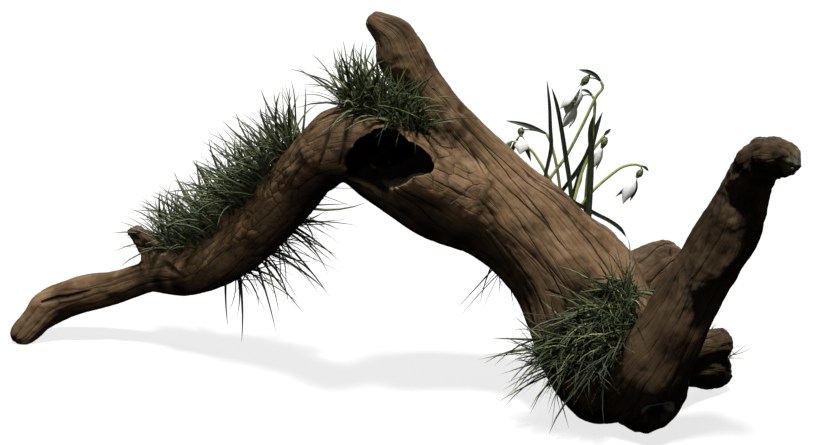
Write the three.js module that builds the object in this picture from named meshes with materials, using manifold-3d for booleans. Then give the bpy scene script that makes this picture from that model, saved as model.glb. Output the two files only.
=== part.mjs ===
// A fallen, forked branch that arches over the ground on three points, with grass tufts and
// snowdrops growing on it. Units are millimetres, +X is right, +Y is away from the viewer and
// +Z is up. The origin lies on the flat underside of the heel, in the plane of the ground.
import * as THREE from "three";
import { mergeVertices } from "three/addons/utils/BufferGeometryUtils.js";
import Module from "manifold-3d";

const wasm = await Module();
wasm.setup();

const GAP = 0.3; // clearance between neighbouring pieces
const HEEL = new THREE.Vector3(-4, 12, 0); // middle of the heel's flat, in the stations' own frame
const STEM_RADIUS = 1.1;

// ---- Wood: each station is [x, y, z, radius] on the middle of the limb ----

const TRUNK = [
  [-219, 87, 181, 12], [-203, 97, 171, 16], [-184, 105, 163, 21], [-162, 108, 157, 28],
  [-137, 103, 153, 35], [-112, 94, 149, 41],
  [-90, 88, 139, 41], [-71, 82, 125, 41], [-52, 75, 105, 43], [-36, 67, 77, 44],
  [-26, 58, 52, 44], [-18, 47, 31, 39], [-14, 38, 19, 30],
];
const UPPER_LIMB = [
  [-110, 88, 165, 26], [-122, 90, 191, 22], [-147, 93, 223, 18], [-168, 95, 249, 17],
  [-178, 97, 267, 17], [-186, 98, 282, 14], [-198, 98, 293, 8],
];
const LEFT_LIMB = [
  [-132, 88, 157, 36], [-160, 78, 178, 32], [-190, 72, 197, 30], [-218, 70, 207, 28],
  [-241, 86, 188, 24], [-263, 112, 157, 22], [-288, 136, 123, 23], [-317, 160, 92, 23],
  [-351, 178, 70, 20], [-385, 190, 58, 13], [-416, 200, 47, 13], [-447, 205, 36, 15],
  [-471, 207, 26, 14], [-486, 206, 14, 11], [-497, 205, 3, 9],
];
const RIGHT_LIMB = [
  [-4, 20, 26, 33], [5, 5, 55, 30], [15, -2, 77, 25], [23, -6, 98, 22], [31, -10, 121, 22],
  [43, -14, 145, 21], [57, -16, 170, 20], [65, -18, 190, 17], [70, -20, 206, 16],
  [76, -22, 221, 15], [85, -25, 223, 13], [91, -27, 221, 11],
];
const BACK_STUB = [[-24, 80, 78, 27], [5, 105, 88, 23], [25, 122, 93, 20], [33, 130, 93, 17]];
const LOWER_STUB = [[15, 45, 33, 21], [44, 72, 25, 17], [59, 84, 18, 16], [67, 93, 10, 15]];
const KNUCKLE_STUB = [[31, 50, 49, 14], [55, 74, 47, 12], [71, 85, 43, 11]];
const TWIG_STUB = [[-383, 189, 62, 12], [-387, 189, 77, 10], [-391, 188, 90, 8], [-395, 187, 99, 7]];
// The dark hollow under the crown of the arch, open towards the viewer.
const HOLLOW = [
  [-214, 60, 188, 8], [-205, 62, 197, 15], [-194, 63, 195, 19], [-183, 63, 195, 16],
  [-171, 63, 194, 13], [-160, 63, 191, 9], [-150, 63, 187, 5],
];

// ---- Grass: each tuft's solid reaches the tips of its blades ----

const TUFTS = {
  grass_left_limb: [
    [-374, 200, 92, 18], [-352, 194, 106, 25], [-324, 178, 126, 29], [-298, 156, 152, 31],
    [-274, 130, 184, 29], [-256, 106, 206, 22],
  ],
  grass_arch_top: [
    [-240, 84, 222, 16], [-222, 86, 240, 24], [-202, 90, 248, 28], [-182, 96, 238, 24],
    [-168, 98, 226, 14],
  ],
  grass_under_limb: [
    [-320, 172, 78, 16], [-292, 158, 94, 28], [-264, 138, 116, 32], [-238, 118, 142, 26],
    [-224, 104, 160, 14],
  ],
  grass_crotch: [
    [6, 46, 108, 14], [-6, 26, 88, 22], [-24, 14, 62, 28], [-46, 12, 40, 27], [-62, 18, 26, 16],
  ],
  grass_back_stub: [[36, 92, 72, 8], [54, 100, 58, 18], [70, 104, 36, 16], [76, 104, 20, 8]],
  grass_trunk_back: [[-98, 108, 104, 6], [-106, 108, 88, 10], [-112, 108, 74, 6]],
};

// ---- Snowdrop leaves: strap stations [x, y, z, half width] ----

const LEAVES = {
  leaf_1: [
    [-68, 102, 163.5, 1.1], [-67, 103, 171.5, 1.1], [-65, 103, 182, 1.2], [-63, 103, 194, 1.3],
    [-64, 103, 208.5, 1.2], [-65, 103, 226.5, 1], [-67.5, 103, 247, 0.4],
  ],
  leaf_2: [
    [-46.5, 97, 149, 1.2], [-49, 99, 170, 1.5], [-52, 100, 187, 1.5], [-55.5, 100, 207.5, 1.4],
    [-60, 100, 229, 1.1], [-64, 100, 241.5, 0.4],
  ],
  leaf_3: [
    [-34, 98, 132.5, 2], [-33.5, 99, 141.5, 2], [-32.5, 102, 173, 2], [-32.5, 103, 191.5, 1.8],
    [-33.5, 103, 208.5, 1.5], [-31, 103, 221, 0.4],
  ],
  leaf_4: [
    [-53.5, 124, 148.5, 1.2], [-51.5, 125, 153, 1.2], [-44.5, 126, 162.5, 1.4],
    [-35, 127, 176.5, 1.9], [-30.5, 127, 187.5, 2], [-27.5, 127, 200, 1.8], [-22, 127, 216, 0.4],
  ],
  leaf_5: [
    [-47, 121, 130, 1.2], [-44, 124, 146, 1.4], [-39.5, 126, 160, 2], [-38, 127, 167, 1.6],
    [-37, 127, 173, 0.4],
  ],
  leaf_6: [
    [-47, 104, 152, 1.1], [-43, 104, 149, 1.2], [-34, 106, 143.5, 1.3], [-26.5, 107, 139, 1.3],
    [-16, 107, 133.5, 1.3], [-7.5, 107, 127, 1.2], [-2.5, 107, 120, 0.4],
  ],
};

// ---- Snowdrops: stem, spathe and seed case along their paths, three outer petals, inner cup ----

const SNOWDROPS = {
  a: {
    stem: [[-68, 106, 154], [-64.5, 107, 165], [-51, 108, 185.5], [-38, 108, 212.5],
      [-29, 108, 233], [-24.5, 108, 239.5], [-26, 108, 244]],
    spathe: [[-27, 108, 245.4, 0.8], [-30, 108, 248.5, 1.5], [-35.5, 108, 251.5, 1.7],
      [-43.5, 108, 253.5, 0.4]],
    ovary: [[-35, 108, 249, 0.6], [-36.5, 108, 247, 1.7], [-38.5, 108, 244.2, 2.2],
      [-40.4, 108, 242, 1.3]],
    petals: [
      [[-42.5, 106.5, 240.4, 0.9], [-48, 104, 237, 3], [-54, 102, 230.5, 3.4], [-57, 103, 224, 0.8]],
      [[-40.8, 106.4, 239.6, 0.8], [-40.5, 104.5, 233, 2.9], [-42.5, 104, 227, 2.9],
        [-45.5, 105, 221, 0.8]],
      [[-42, 110, 239.5, 0.9], [-46, 113, 231.5, 3], [-50, 114, 223.5, 3.1],
        [-51.5, 113, 216.5, 0.8]],
    ],
    cup: [[-42.6, 108.4, 237.6, 1], [-44.2, 108.6, 234, 2], [-46.4, 108.8, 229, 2.1]],
  },
  b: {
    stem: [[-52, 116, 147.5], [-54, 117, 155.5], [-57, 118, 173], [-60.5, 118, 187.5],
      [-63.5, 118, 196], [-65.5, 118, 200]],
    spathe: [[-66.7, 118, 200.9, 0.8], [-74, 118, 204, 1.8], [-83, 118, 207.5, 1.8],
      [-97.5, 118, 211, 0.4]],
    ovary: [[-84.5, 118, 205, 0.6], [-85, 118, 203.8, 1.8], [-85.4, 118, 202, 2.2],
      [-85.5, 118, 200, 1.5]],
    petals: [
      [[-85.5, 116, 198, 1], [-85, 112, 195.5, 4.2], [-85.5, 110, 191, 4.4], [-86.5, 110, 186, 0.9]],
      [[-83.8, 119, 197.6, 0.9], [-80.5, 121, 191.5, 3], [-78, 122, 184, 2.8], [-77, 121, 177, 0.6]],
      [[-87.4, 119, 197.6, 0.9], [-91, 121, 192, 3], [-93, 122, 186, 2.9], [-92, 121, 179, 0.6]],
    ],
    cup: [[-85.5, 117.4, 196.4, 1], [-85.5, 117.2, 192, 2.2], [-85.6, 117, 188, 2.3]],
  },
  c: {
    stem: [[-46, 108, 141.5], [-44, 110, 148], [-37.5, 116, 171], [-31.5, 119, 184],
      [-24, 121, 194], [-21.4, 121, 197.6]],
    spathe: [[-20.6, 121, 198.8, 0.7], [-19, 121, 200.6, 1.4], [-16, 121, 203.5, 0.4]],
    ovary: [[-19, 121, 196.4, 0.5], [-19.7, 121, 194.5, 1.5], [-21.2, 121, 191.5, 1.9],
      [-22.3, 121, 188.8, 1.1]],
    petals: [
      [[-23.4, 119.6, 187, 0.8], [-26, 118, 183, 2.3], [-28, 117.6, 178, 2.3],
        [-30.5, 118.6, 171, 0.6]],
      [[-21.8, 121.6, 186.6, 0.8], [-21.6, 122.4, 181, 2.1], [-23.4, 122.6, 176, 2.1],
        [-26.6, 122.2, 170, 0.6]],
      [[-23.8, 123, 186, 0.8], [-27.4, 124.6, 181.4, 1.9], [-30, 124.6, 176.6, 1.8],
        [-31.6, 124, 171.4, 0.6]],
    ],
    cup: [[-23.6, 121.1, 185, 0.7], [-24.8, 120.9, 181.4, 1.2], [-26.4, 120.8, 177.4, 1.2]],
  },
  d: {
    stem: [[-45.5, 108, 135], [-40, 109, 143], [-29.5, 110, 157], [-16.5, 111, 169],
      [-7, 111, 176], [2.5, 111, 178], [7.3, 111, 176.6]],
    spathe: [[8.4, 111, 176.2, 0.7], [10.5, 111, 175, 1.2], [13, 111, 172.5, 0.4]],
    ovary: [[8.2, 111, 174.2, 0.5], [7.4, 111, 172.6, 1.5], [5.8, 111, 170, 2.1],
      [4.4, 111, 168.2, 1.2]],
    petals: [
      [[3, 109.4, 166.6, 0.9], [-0.5, 106, 162, 3.5], [-4, 105, 156, 3.5], [-6.5, 106, 147.5, 0.8]],
      [[4.4, 111.4, 165.8, 0.9], [5.2, 112.2, 159.5, 2.6], [3.6, 112.6, 154, 2.6],
        [-0.5, 112, 148, 0.8]],
      [[2.4, 113, 165.5, 0.9], [-2.4, 115, 160.5, 2.9], [-7, 116, 155.5, 2.8],
        [-11.5, 115, 150.5, 0.6]],
    ],
    cup: [[2.6, 111, 164, 1], [0.6, 110.6, 160, 2], [-1.8, 110.4, 155.6, 2]],
  },
  e: {
    stem: [[-61, 112, 162], [-66, 113, 170.5], [-71.5, 114, 180], [-76.5, 115, 187],
      [-83, 115, 192.5], [-90, 115, 195]],
    ovary: [[-92.2, 115, 195.4, 0.5], [-94.4, 115, 193, 1.5], [-96, 115, 190.5, 1.8],
      [-97, 115, 189, 1.1]],
    petals: [
      [[-98.4, 113.4, 187.5, 0.9], [-101, 112, 183.5, 2.4], [-103, 111.5, 179, 2.4],
        [-104.5, 112, 174, 0.6]],
      [[-97, 115.8, 187, 0.9], [-97.2, 117, 181.5, 2.2], [-98.6, 117.4, 176.5, 2.2],
        [-101, 116.4, 171, 0.6]],
      [[-99, 117.4, 186.5, 0.9], [-102, 119, 182.5, 2.2], [-104, 120, 177.5, 2.2],
        [-105.5, 119.4, 172.5, 0.6]],
    ],
  },
  f: {
    stem: [[-35, 112, 138], [-34, 113, 165], [-31, 114, 196.5], [-29.5, 115, 221],
      [-29.5, 115, 227], [-31.6, 115, 231.2]],
    spathe: [[-32.8, 115, 232.6, 0.7], [-36, 115, 235, 1.2], [-41, 115, 236, 0.4]],
    ovary: [[-39.3, 115, 232.2, 0.5], [-40.4, 115, 230.6, 1.4], [-42.4, 115, 228, 1.8],
      [-43.8, 115, 226.2, 1.1]],
    petals: [
      [[-44.6, 113.4, 224.4, 0.8], [-48.2, 111.6, 219.5, 2.4], [-52, 111, 212, 2.6],
        [-54.5, 111.6, 206.5, 0.8]],
      [[-43.6, 115.6, 223.8, 0.8], [-42.6, 117, 217.5, 2.4], [-44.4, 117.4, 211, 2.4],
        [-49, 116.4, 205, 0.8]],
      [[-45.2, 117, 223.2, 0.8], [-49.4, 119, 218, 2.4], [-52, 120, 212.5, 2.4],
        [-53, 119.4, 207, 0.8]],
    ],
  },
};

const LOOKS = {
  wood: { color: 0x86705b, roughness: 0.85, metalness: 0 },
  grass: { color: 0x586b4a, roughness: 0.8, metalness: 0 },
  leaf: { color: 0x3f5a38, roughness: 0.55, metalness: 0 },
  stem: { color: 0xa9b878, roughness: 0.6, metalness: 0 },
  petal: { color: 0xf2f3ee, roughness: 0.5, metalness: 0 },
};

// ---- Shapes ----

// A limb's rings: middle, radius, and the two directions across it. Its ends are cones, or
// round domes, whose height is `blunt` times the end radius.
function ringsAlong(stations, steps, facing, blunt, domes) {
  const middles = stations.map(([x, y, z]) => new THREE.Vector3(x, y, z));
  const path = new THREE.CatmullRomCurve3(middles, false, "centripetal");
  const girth = new THREE.SplineCurve(stations.map((s, i) => new THREE.Vector2(i, s[3])));
  const rings = [];
  const across = facing.clone();
  const ring = (t, swing) => {
    const tangent = path.getTangent(t);
    across.addScaledVector(tangent, -across.dot(tangent)).normalize();
    const radius = girth.getPoint(t).y;
    const reach = (t < 0.5 ? -1 : 1) * radius * blunt * Math.cos(swing);
    rings.push({
      middle: path.getPoint(t).addScaledVector(tangent, reach),
      radius: radius * Math.sin(swing),
      across: across.clone(),
      along: new THREE.Vector3().crossVectors(tangent, across),
    });
  };
  const swings = domes ? [0, Math.PI / 6, Math.PI / 3] : [0];
  swings.forEach((swing) => ring(0, swing));
  for (let i = 0; i <= steps; i += 1) ring(i / steps, Math.PI / 2);
  swings.reverse().forEach((swing) => ring(1, swing));
  return rings;
}

// A closed, lathed body bent along its stations. `thick` squeezes it along `facing`, and
// `lumpy` raises shallow swellings that wander round it.
function limb(stations, options = {}) {
  const { sides = 16, steps = 20, blunt = 0.6, domes = true, thick = 1, lumpy = 0 } = options;
  const facing = options.facing || new THREE.Vector3(0.3, -1, 0.2);
  const rings = ringsAlong(stations, steps, facing, blunt, domes);
  const last = rings.length - 1;
  const profile = rings.map((_, i) => new THREE.Vector2(i === 0 || i === last ? 0 : 1, i));
  const geometry = new THREE.LatheGeometry(profile, sides);
  const spots = geometry.attributes.position;
  const spot = new THREE.Vector3();
  for (let i = 0; i < spots.count; i += 1) {
    const row = i % rings.length;
    const { middle, radius, across, along } = rings[row];
    const turn = Math.atan2(spots.getX(i), spots.getZ(i));
    const wave = Math.sin(2 * turn + 0.9 * row) + Math.sin(3 * turn - 0.7 * row + 1.3);
    const reach = radius * (1 + lumpy * wave);
    spot.copy(middle);
    spot.addScaledVector(across, reach * thick * spots.getZ(i));
    spot.addScaledVector(along, reach * spots.getX(i));
    spots.setXYZ(i, spot.x, spot.y, spot.z);
  }
  return geometry;
}

// A round stem swept along its path.
function stem(points, radius) {
  const path = new THREE.CatmullRomCurve3(points.map((p) => new THREE.Vector3(...p)));
  const sixth = Math.PI / 3;
  const turns = [0, 1, 2, 3, 4, 5].map((i) => i * sixth);
  const corners = turns.map((a) => new THREE.Vector2(radius * Math.cos(a), radius * Math.sin(a)));
  const round = new THREE.Shape(corners);
  const sweep = { steps: 9, bevelEnabled: false, extrudePath: path };
  return new THREE.ExtrudeGeometry(round, sweep);
}

// A thin leaf or petal whose broad side looks along `facing`.
function blade(stations, facing, thick = 0.22) {
  return limb(stations, { sides: 6, steps: 5, blunt: 0.8, domes: false, thick, facing });
}

// ---- Solids and pieces ----

// The geometry as a solid, its surface moved outwards by `growth`.
function solidOf(geometry, growth = 0) {
  const bare = new THREE.BufferGeometry();
  bare.setAttribute("position", geometry.attributes.position);
  if (geometry.index) bare.setIndex(geometry.index);
  const shell = mergeVertices(bare, 1e-3);
  shell.computeVertexNormals();
  const spots = shell.attributes.position;
  const normals = shell.attributes.normal;
  for (let i = 0; i < spots.count && growth; i += 1) {
    spots.setX(i, spots.getX(i) + growth * normals.getX(i));
    spots.setY(i, spots.getY(i) + growth * normals.getY(i));
    spots.setZ(i, spots.getZ(i) + growth * normals.getZ(i));
  }
  const faces = Array.from(shell.index.array);
  const corners = faces.filter((_, i) => {
    const at = i - (i % 3);
    return new Set(faces.slice(at, at + 3)).size === 3;
  });
  const mesh = new wasm.Mesh({
    numProp: 3,
    vertProperties: spots.array,
    triVerts: Uint32Array.from(corners),
  });
  return new wasm.Manifold(mesh);
}

function geometryOf(solid) {
  const mesh = solid.getMesh();
  const geometry = new THREE.BufferGeometry();
  geometry.setAttribute("position", new THREE.BufferAttribute(mesh.vertProperties, 3));
  geometry.setIndex(new THREE.BufferAttribute(mesh.triVerts, 1));
  const faceted = geometry.toNonIndexed();
  faceted.computeVertexNormals();
  return faceted;
}

function biggest(solid) {
  return solid.decompose().reduce((a, b) => (a.volume() > b.volume() ? a : b));
}

const branch = new THREE.Group();
branch.position.copy(HEEL).negate();
const grownPieces = [];

// Adds a piece, trimmed clear of every piece before it and level with the ground.
function addPiece(name, geometry, look, hollows = []) {
  const whole = solidOf(geometry);
  let solid = whole.trimByPlane([0, 0, 1], 0);
  [...grownPieces, ...hollows].forEach((other) => {
    solid = solid.subtract(other);
  });
  const mesh = new THREE.Mesh(
    geometryOf(biggest(solid)),
    new THREE.MeshStandardMaterial(LOOKS[look]),
  );
  mesh.name = name;
  branch.add(mesh);
  grownPieces.push(solidOf(geometry, GAP).add(whole));
}

function addWood() {
  const hollow = [solidOf(limb(HOLLOW, { sides: 10, steps: 7, thick: 1.8 }))];
  const stub = { sides: 10, steps: 4, lumpy: 0.03, blunt: 0.35 };
  addPiece("trunk", limb(TRUNK, { sides: 18, steps: 18, lumpy: 0.02 }), "wood", hollow);
  addPiece("left_limb", limb(LEFT_LIMB, { sides: 12, steps: 24, lumpy: 0.03 }), "wood", hollow);
  addPiece("right_limb", limb(RIGHT_LIMB, { sides: 13, steps: 18, lumpy: 0.025, blunt: 1 }), "wood");
  addPiece("upper_limb", limb(UPPER_LIMB, { sides: 12, steps: 9, lumpy: 0.025 }), "wood", hollow);
  addPiece("back_stub", limb(BACK_STUB, stub), "wood");
  addPiece("lower_stub", limb(LOWER_STUB, stub), "wood");
  addPiece("knuckle_stub", limb(KNUCKLE_STUB, stub), "wood");
  addPiece("twig_stub", limb(TWIG_STUB, stub), "wood");
}

function addGrass() {
  Object.entries(TUFTS).forEach(([name, stations]) => {
    addPiece(name, limb(stations, { sides: 8, steps: 5, lumpy: 0.07, blunt: 0.9 }), "grass");
  });
}

function addLeaves() {
  Object.entries(LEAVES).forEach(([name, stations]) => {
    addPiece(name, blade(stations, new THREE.Vector3(0, -1, 0.2), 0.3), "leaf");
  });
}

// The way a petal's back looks: from the flower's middle line out through the petal.
function outward(petal, flower) {
  const middle = new THREE.Vector3();
  flower.petals.forEach((p) => middle.add(new THREE.Vector3(...p[2].slice(0, 3))));
  middle.divideScalar(flower.petals.length);
  return new THREE.Vector3(...petal[2].slice(0, 3)).sub(middle).normalize();
}

function addSnowdrop(letter, flower) {
  const name = (piece) => `snowdrop_${letter}_${piece}`;
  addPiece(name("stem"), stem(flower.stem, STEM_RADIUS), "stem");
  if (flower.spathe) {
    addPiece(name("spathe"), blade(flower.spathe, new THREE.Vector3(0, -1, 0.6), 0.3), "leaf");
  }
  addPiece(name("ovary"), limb(flower.ovary, { sides: 6, steps: 4, domes: false }), "stem");
  flower.petals.forEach((petal, i) => {
    addPiece(name(`petal_${i + 1}`), blade(petal, outward(petal, flower)), "petal");
  });
  if (flower.cup) {
    addPiece(name("cup"), limb(flower.cup, { sides: 6, steps: 3, domes: false }), "petal");
  }
}

addWood();
addGrass();
addLeaves();
Object.entries(SNOWDROPS).forEach(([letter, flower]) => addSnowdrop(letter, flower));

export default branch;
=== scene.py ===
"""A fallen, forked branch with grass tufts and snowdrops growing on it, built over its frame."""

import math

import bmesh
import bpy
import numpy as np
from bpy.props import FloatProperty, FloatVectorProperty, IntProperty, PointerProperty
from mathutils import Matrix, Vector


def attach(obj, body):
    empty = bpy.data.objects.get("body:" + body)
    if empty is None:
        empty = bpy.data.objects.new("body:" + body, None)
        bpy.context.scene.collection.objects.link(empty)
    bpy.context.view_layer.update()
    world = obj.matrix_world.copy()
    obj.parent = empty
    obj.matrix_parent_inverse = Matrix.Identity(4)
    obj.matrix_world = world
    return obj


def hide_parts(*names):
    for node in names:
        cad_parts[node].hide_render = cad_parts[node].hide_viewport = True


bl_info = {
    "name": "Fallen Branch",
    "version": (1, 0, 0),
    "blender": (4, 5, 0),
    "location": "3D View > Sidebar > Branch",
    "description": "Grows bark, grass and snowdrops over the frame of a fallen branch",
    "category": "Add Mesh",
}

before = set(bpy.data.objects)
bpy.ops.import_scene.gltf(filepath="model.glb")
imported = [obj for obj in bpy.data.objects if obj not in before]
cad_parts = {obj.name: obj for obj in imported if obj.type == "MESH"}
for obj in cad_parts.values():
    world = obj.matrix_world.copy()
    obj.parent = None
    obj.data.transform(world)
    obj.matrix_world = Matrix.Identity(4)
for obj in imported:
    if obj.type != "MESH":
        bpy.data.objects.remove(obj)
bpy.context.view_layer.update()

MM = 0.001
HEEL = np.array([-4.0, 12.0, 0.0])  # middle of the heel's flat, in the stations' own frame

# ---- Stations in millimetres: x, y, z and a radius or half width ----

LIMBS = {
    "trunk": [
        [-219, 87, 184, 12], [-203, 97, 174, 16.5], [-184, 105, 164, 22], [-162, 108, 157, 31],
        [-137, 103, 152.5, 36.5], [-112, 94, 150, 40], [-90, 88, 141, 40.5], [-71, 82, 126, 40.5],
        [-52, 75, 105, 43], [-38, 66, 77, 46.5], [-30, 57, 52, 47], [-22, 46, 32, 42],
        [-15, 36, 18, 34.5],
    ],
    "left_limb": [
        [-132, 88, 157, 36], [-160, 78, 178, 32], [-190, 72, 197, 30], [-218, 70, 207, 29.5],
        [-241, 86, 188, 24.5], [-263, 112, 157, 23], [-288, 136, 122, 24], [-317, 160, 90.5, 25],
        [-351, 178, 68, 21.5], [-385, 190, 59, 13.5], [-416, 200, 45, 14.5],
        [-447, 204, 37, 15.5], [-472, 204, 26.5, 15.5], [-486, 198, 14, 13], [-496, 192, 4, 11],
    ],
    "right_limb": [
        [-1, 20, 27.5, 33.5], [7, 5, 55, 31.5], [17.5, -2, 77, 26.5], [27.5, -4, 98, 24],
        [37.5, -7, 121, 22.5], [47.5, -10, 145, 21], [58.5, -11, 168, 20.5],
        [65, -12, 190, 18],
        [68, -20, 209, 16], [75, -30, 223, 16.5], [85, -36, 226, 14], [91, -38, 224, 12],
    ],
    "upper_limb": [
        [-110, 88, 165, 26], [-122, 90, 191, 23], [-148, 93, 224, 18.2], [-168, 95, 250, 18],
        [-178, 97, 268, 18.5], [-183, 98, 282, 15.5], [-198, 98, 294.5, 8.5],
    ],
    "back_stub": [[-24, 80, 78, 27], [5, 105, 86, 23], [25, 122, 91.5, 20], [37, 131, 92, 17.5]],
    "lower_stub": [[15, 45, 36, 20], [44, 72, 27, 16.5], [60, 85, 19.5, 16.5], [72, 96, 12, 15]],
    "knuckle_stub": [[31, 50, 47, 14], [55, 74, 43, 12.5], [74, 88, 40, 11.5]],
    "twig_stub": [
        [-383, 189, 64, 11], [-385, 189, 78, 8.5], [-390, 188, 90, 7.5], [-395, 187, 101, 7],
    ],
}
# How far a limb's domed ends stand out, as shares of its radius, and how deep its flutes are.
BLUNT = {"trunk": 0.6, "left_limb": 0.6, "right_limb": 0.75, "upper_limb": 0.6}
STUB_BLUNT = 0.35
FLUTES = {"trunk": 0.025, "right_limb": 0.055}
USUAL_FLUTES = 0.032
# The way the grain runs: from the heel through the trunk into the upper limb, and so on.
GRAINS = {
    "trunk": [
        *LIMBS["trunk"][:7:-1], [-68, 81, 126, 40], [-88, 87, 152, 36], [-107, 90, 173, 30],
        *LIMBS["upper_limb"][1:],
    ],
    "left_limb": [[-90, 88, 139, 41], *LIMBS["left_limb"]],
    "right_limb": LIMBS["right_limb"],
    "back_stub": LIMBS["back_stub"],
    "lower_stub": LIMBS["lower_stub"],
    "knuckle_stub": LIMBS["knuckle_stub"],
    "twig_stub": LIMBS["twig_stub"],
}
GRAIN_OF = {name: name for name in GRAINS} | {"upper_limb": "trunk"}
# The radius at which each limb's grooves are laid out, whatever its thickness.
GIRTHS = {"trunk": 34, "left_limb": 22, "right_limb": 20}
STUB_GIRTH = 14
ARM_FRONT = (0.3, -1.0, 0.2)  # the way that every limb's rings start
FORK_WIDTH = 0.012  # the width over which two limbs' grains fade into each other
TUBE_STEP = 0.003  # from ring to ring of a limb
DOME_SWINGS = (12, 32, 52, 72)  # degrees from its pole to each ring of a domed end
TRUNK_LEAD = 0.002  # how far the trunk reaches into the limbs that it meets
TUFT_FADE = 0.008  # the width over which the green and the dead grass round a tuft fade
SINK = 0.003  # how far a closing cap lies under the bark
# Wood that fills the corners between limbs.
FILLETS = [
    [[-80, 84, 137, 35], [-92, 87, 151, 33], [-106, 89, 170, 28], [-121, 92, 192, 22]],
    [[-362, 187, 70, 10], [-379, 188, 83, 9], [-394, 188, 98, 6.5]],
    [[-136, 76, 176, 16], [-120, 72, 172, 20], [-104, 74, 160, 22]],
    [[-48, 80, 109, 41], [-33, 75, 90, 42], [-20, 72, 70, 38]],
    [[5, 16, 33, 31.5], [12, 10, 45, 28.5]],
]
# The dark hollow under the crown of the arch, open to the front, its lower pocket, and a
# rotted knot. Each is cut with a tube that is this much thicker from front to back.
HOLLOWS = [
    [
        [-212, 57, 190, 9], [-206, 57, 199, 18], [-195, 58, 202, 20.5], [-181, 58, 198, 19],
        [-167, 58, 197, 11], [-155, 58, 192, 5],
    ],
    [[-213, 56, 182, 9], [-205, 52, 176, 13], [-197, 50, 170, 13], [-190, 48, 161, 9.5]],
    [[12, -42, 22, 11], [12, -24, 23, 11], [12, -6, 26, 7]],
]
HOLLOW_THICKNESS = (1.8, 1.6, 1.0)
KNOT = [12, -18, 23, 13]
CUT_FACE = [97, -48, 223, 12, 1.0]
# Single cracks, and thin painted shadows of hanging roots on the arch, also cut in as grooves: x,
# y, z and half width along each.
CRACKS_AND_ROOT_SHADOWS = [
    [
        [-82, 30, 99, 0.8], [-74, 30, 102, 1.2], [-65, 30, 101, 1.2], [-58, 30, 98, 1],
        [-55, 30, 94, 0.6],
    ],
    [[34, 112, 116, 1], [34, 112, 108, 1], [33, 112, 99, 0.8]],
    [[-476, 188, 36, 0.8], [-464, 188, 39, 1.5], [-451, 188, 42, 1.6], [-436, 188, 46, 0.8]],
    [[-381, 165, 78, 1.5], [-369, 165, 76, 2.2], [-357, 165, 72, 2], [-339, 165, 63, 1]],
    [[-218, 48, 245, 1.1], [-222, 46, 236, 1.3], [-229, 44, 224, 1.2], [-238, 42, 194, 0.8]],
    [[-211, 46, 242, 1.1], [-216, 44, 230, 1.3], [-218, 42, 217, 1.2], [-222, 42, 198, 0.8]],
    [[-207, 48, 245, 1.2], [-216, 46, 240, 1.3], [-225, 44, 233, 1.3], [-238, 46, 225, 0.9]],
    [[-198, 46, 238, 1.1], [-194, 44, 229, 1.2], [-193, 42, 221, 0.9]],
    [[-190, 46, 236, 1.0], [-184, 44, 226, 1.2], [-176, 42, 216, 0.9]],
]
# Bark that is cracked into small plates, and painted shadows with a few real stains: x, y, z, reach
# and amount.
CRACKED = [
    [-148, 52, 192, 20, 0.8], [-132, 54, 180, 18, 0.7], [-174, 50, 212, 18, 0.5],
    [-235, 65, 205, 26, 0.7], [-262, 95, 160, 32, 0.9], [-292, 125, 120, 36, 0.9],
    [-335, 160, 85, 30, 0.7],
]
SHADOWS_AND_STAINS = [
    [72, 84, 40, 34, 0.8], [66, 90, 14, 36, 1.0], [40, 60, 34, 34, 0.95], [12, -24, 6, 26, 0.95],
    [-24, 4, 8, 36, 0.85], [-82, 60, 60, 30, 0.8], [-292, 118, 112, 10, 0.8],
    [-236, 50, 184, 9, 0.8], [-390, 177, 58, 14, 0.85], [-375, 172, 60, 18, 1.0],
    [-358, 163, 59, 15, 1.0], [-343, 157, 61, 10, 0.8], [-490, 186, 18, 24, 0.4],
    [-396, 186, 90, 16, 0.6], [12, 104, 106, 34, 0.62],
    [-180, 72, 152, 22, 1.0], [-156, 70, 140, 22, 1.0], [-132, 60, 126, 26, 1.0],
    [-112, 46, 108, 26, 0.95], [-94, 36, 92, 26, 0.95], [-60, 16, 98, 30, 0.78],
    [66, -28, 190, 20, 0.85],
    [60, 6, 150, 26, 0.8], [58, -24, 168, 14, 0.6], [48, 10, 110, 24, 0.8], [34, 10, 72, 24, 0.8],
    [-330, 170, 68, 20, 0.5], [-300, 150, 92, 18, 0.5], [-222, 44, 222, 22, 0.5],
    [-180, 80, 264, 40, 0.3], [-150, 78, 226, 34, 0.3],
]
# Swellings and dents: x, y, z, reach and how far the surface moves out.
SWELLINGS = [
    [98, -48, 216, 7, 3.0], [74, -44, 236, 8, 3.0], [94, -46, 236, 7, -2.0],
    [62, -32, 226, 8, 3.0], [84, -50, 226, 6, -3.0], [66, -40, 216, 7, 2.5],
    [86, -50, 214, 6, 2.5], [80, -34, 240, 6, -2.0], [64, -28, 194, 9, -3.5],
    [50, -30, 178, 11, 3.0], [48, -30, 158, 9, -2.0], [44, -32, 138, 12, 2.5],
    [-450, 190, 42, 12, 3.5], [-476, 192, 34, 12, 3.0], [-420, 188, 44, 12, -2.0],
    [-186, 84, 268, 10, 2.5], [-160, 80, 246, 12, -2.0], [-205, 88, 292, 8, 1.5],
    [-164, 46, 155, 15, -6.0], [-146, 46, 148, 14, -4.5], [-182, 42, 171, 8, 3.0],
    [-232, 46, 196, 16, 3.0], [20, -32, 96, 14, 3.0], [38, -32, 112, 11, -3.0],
    [6, -24, 70, 16, -2.0],
]
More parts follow.
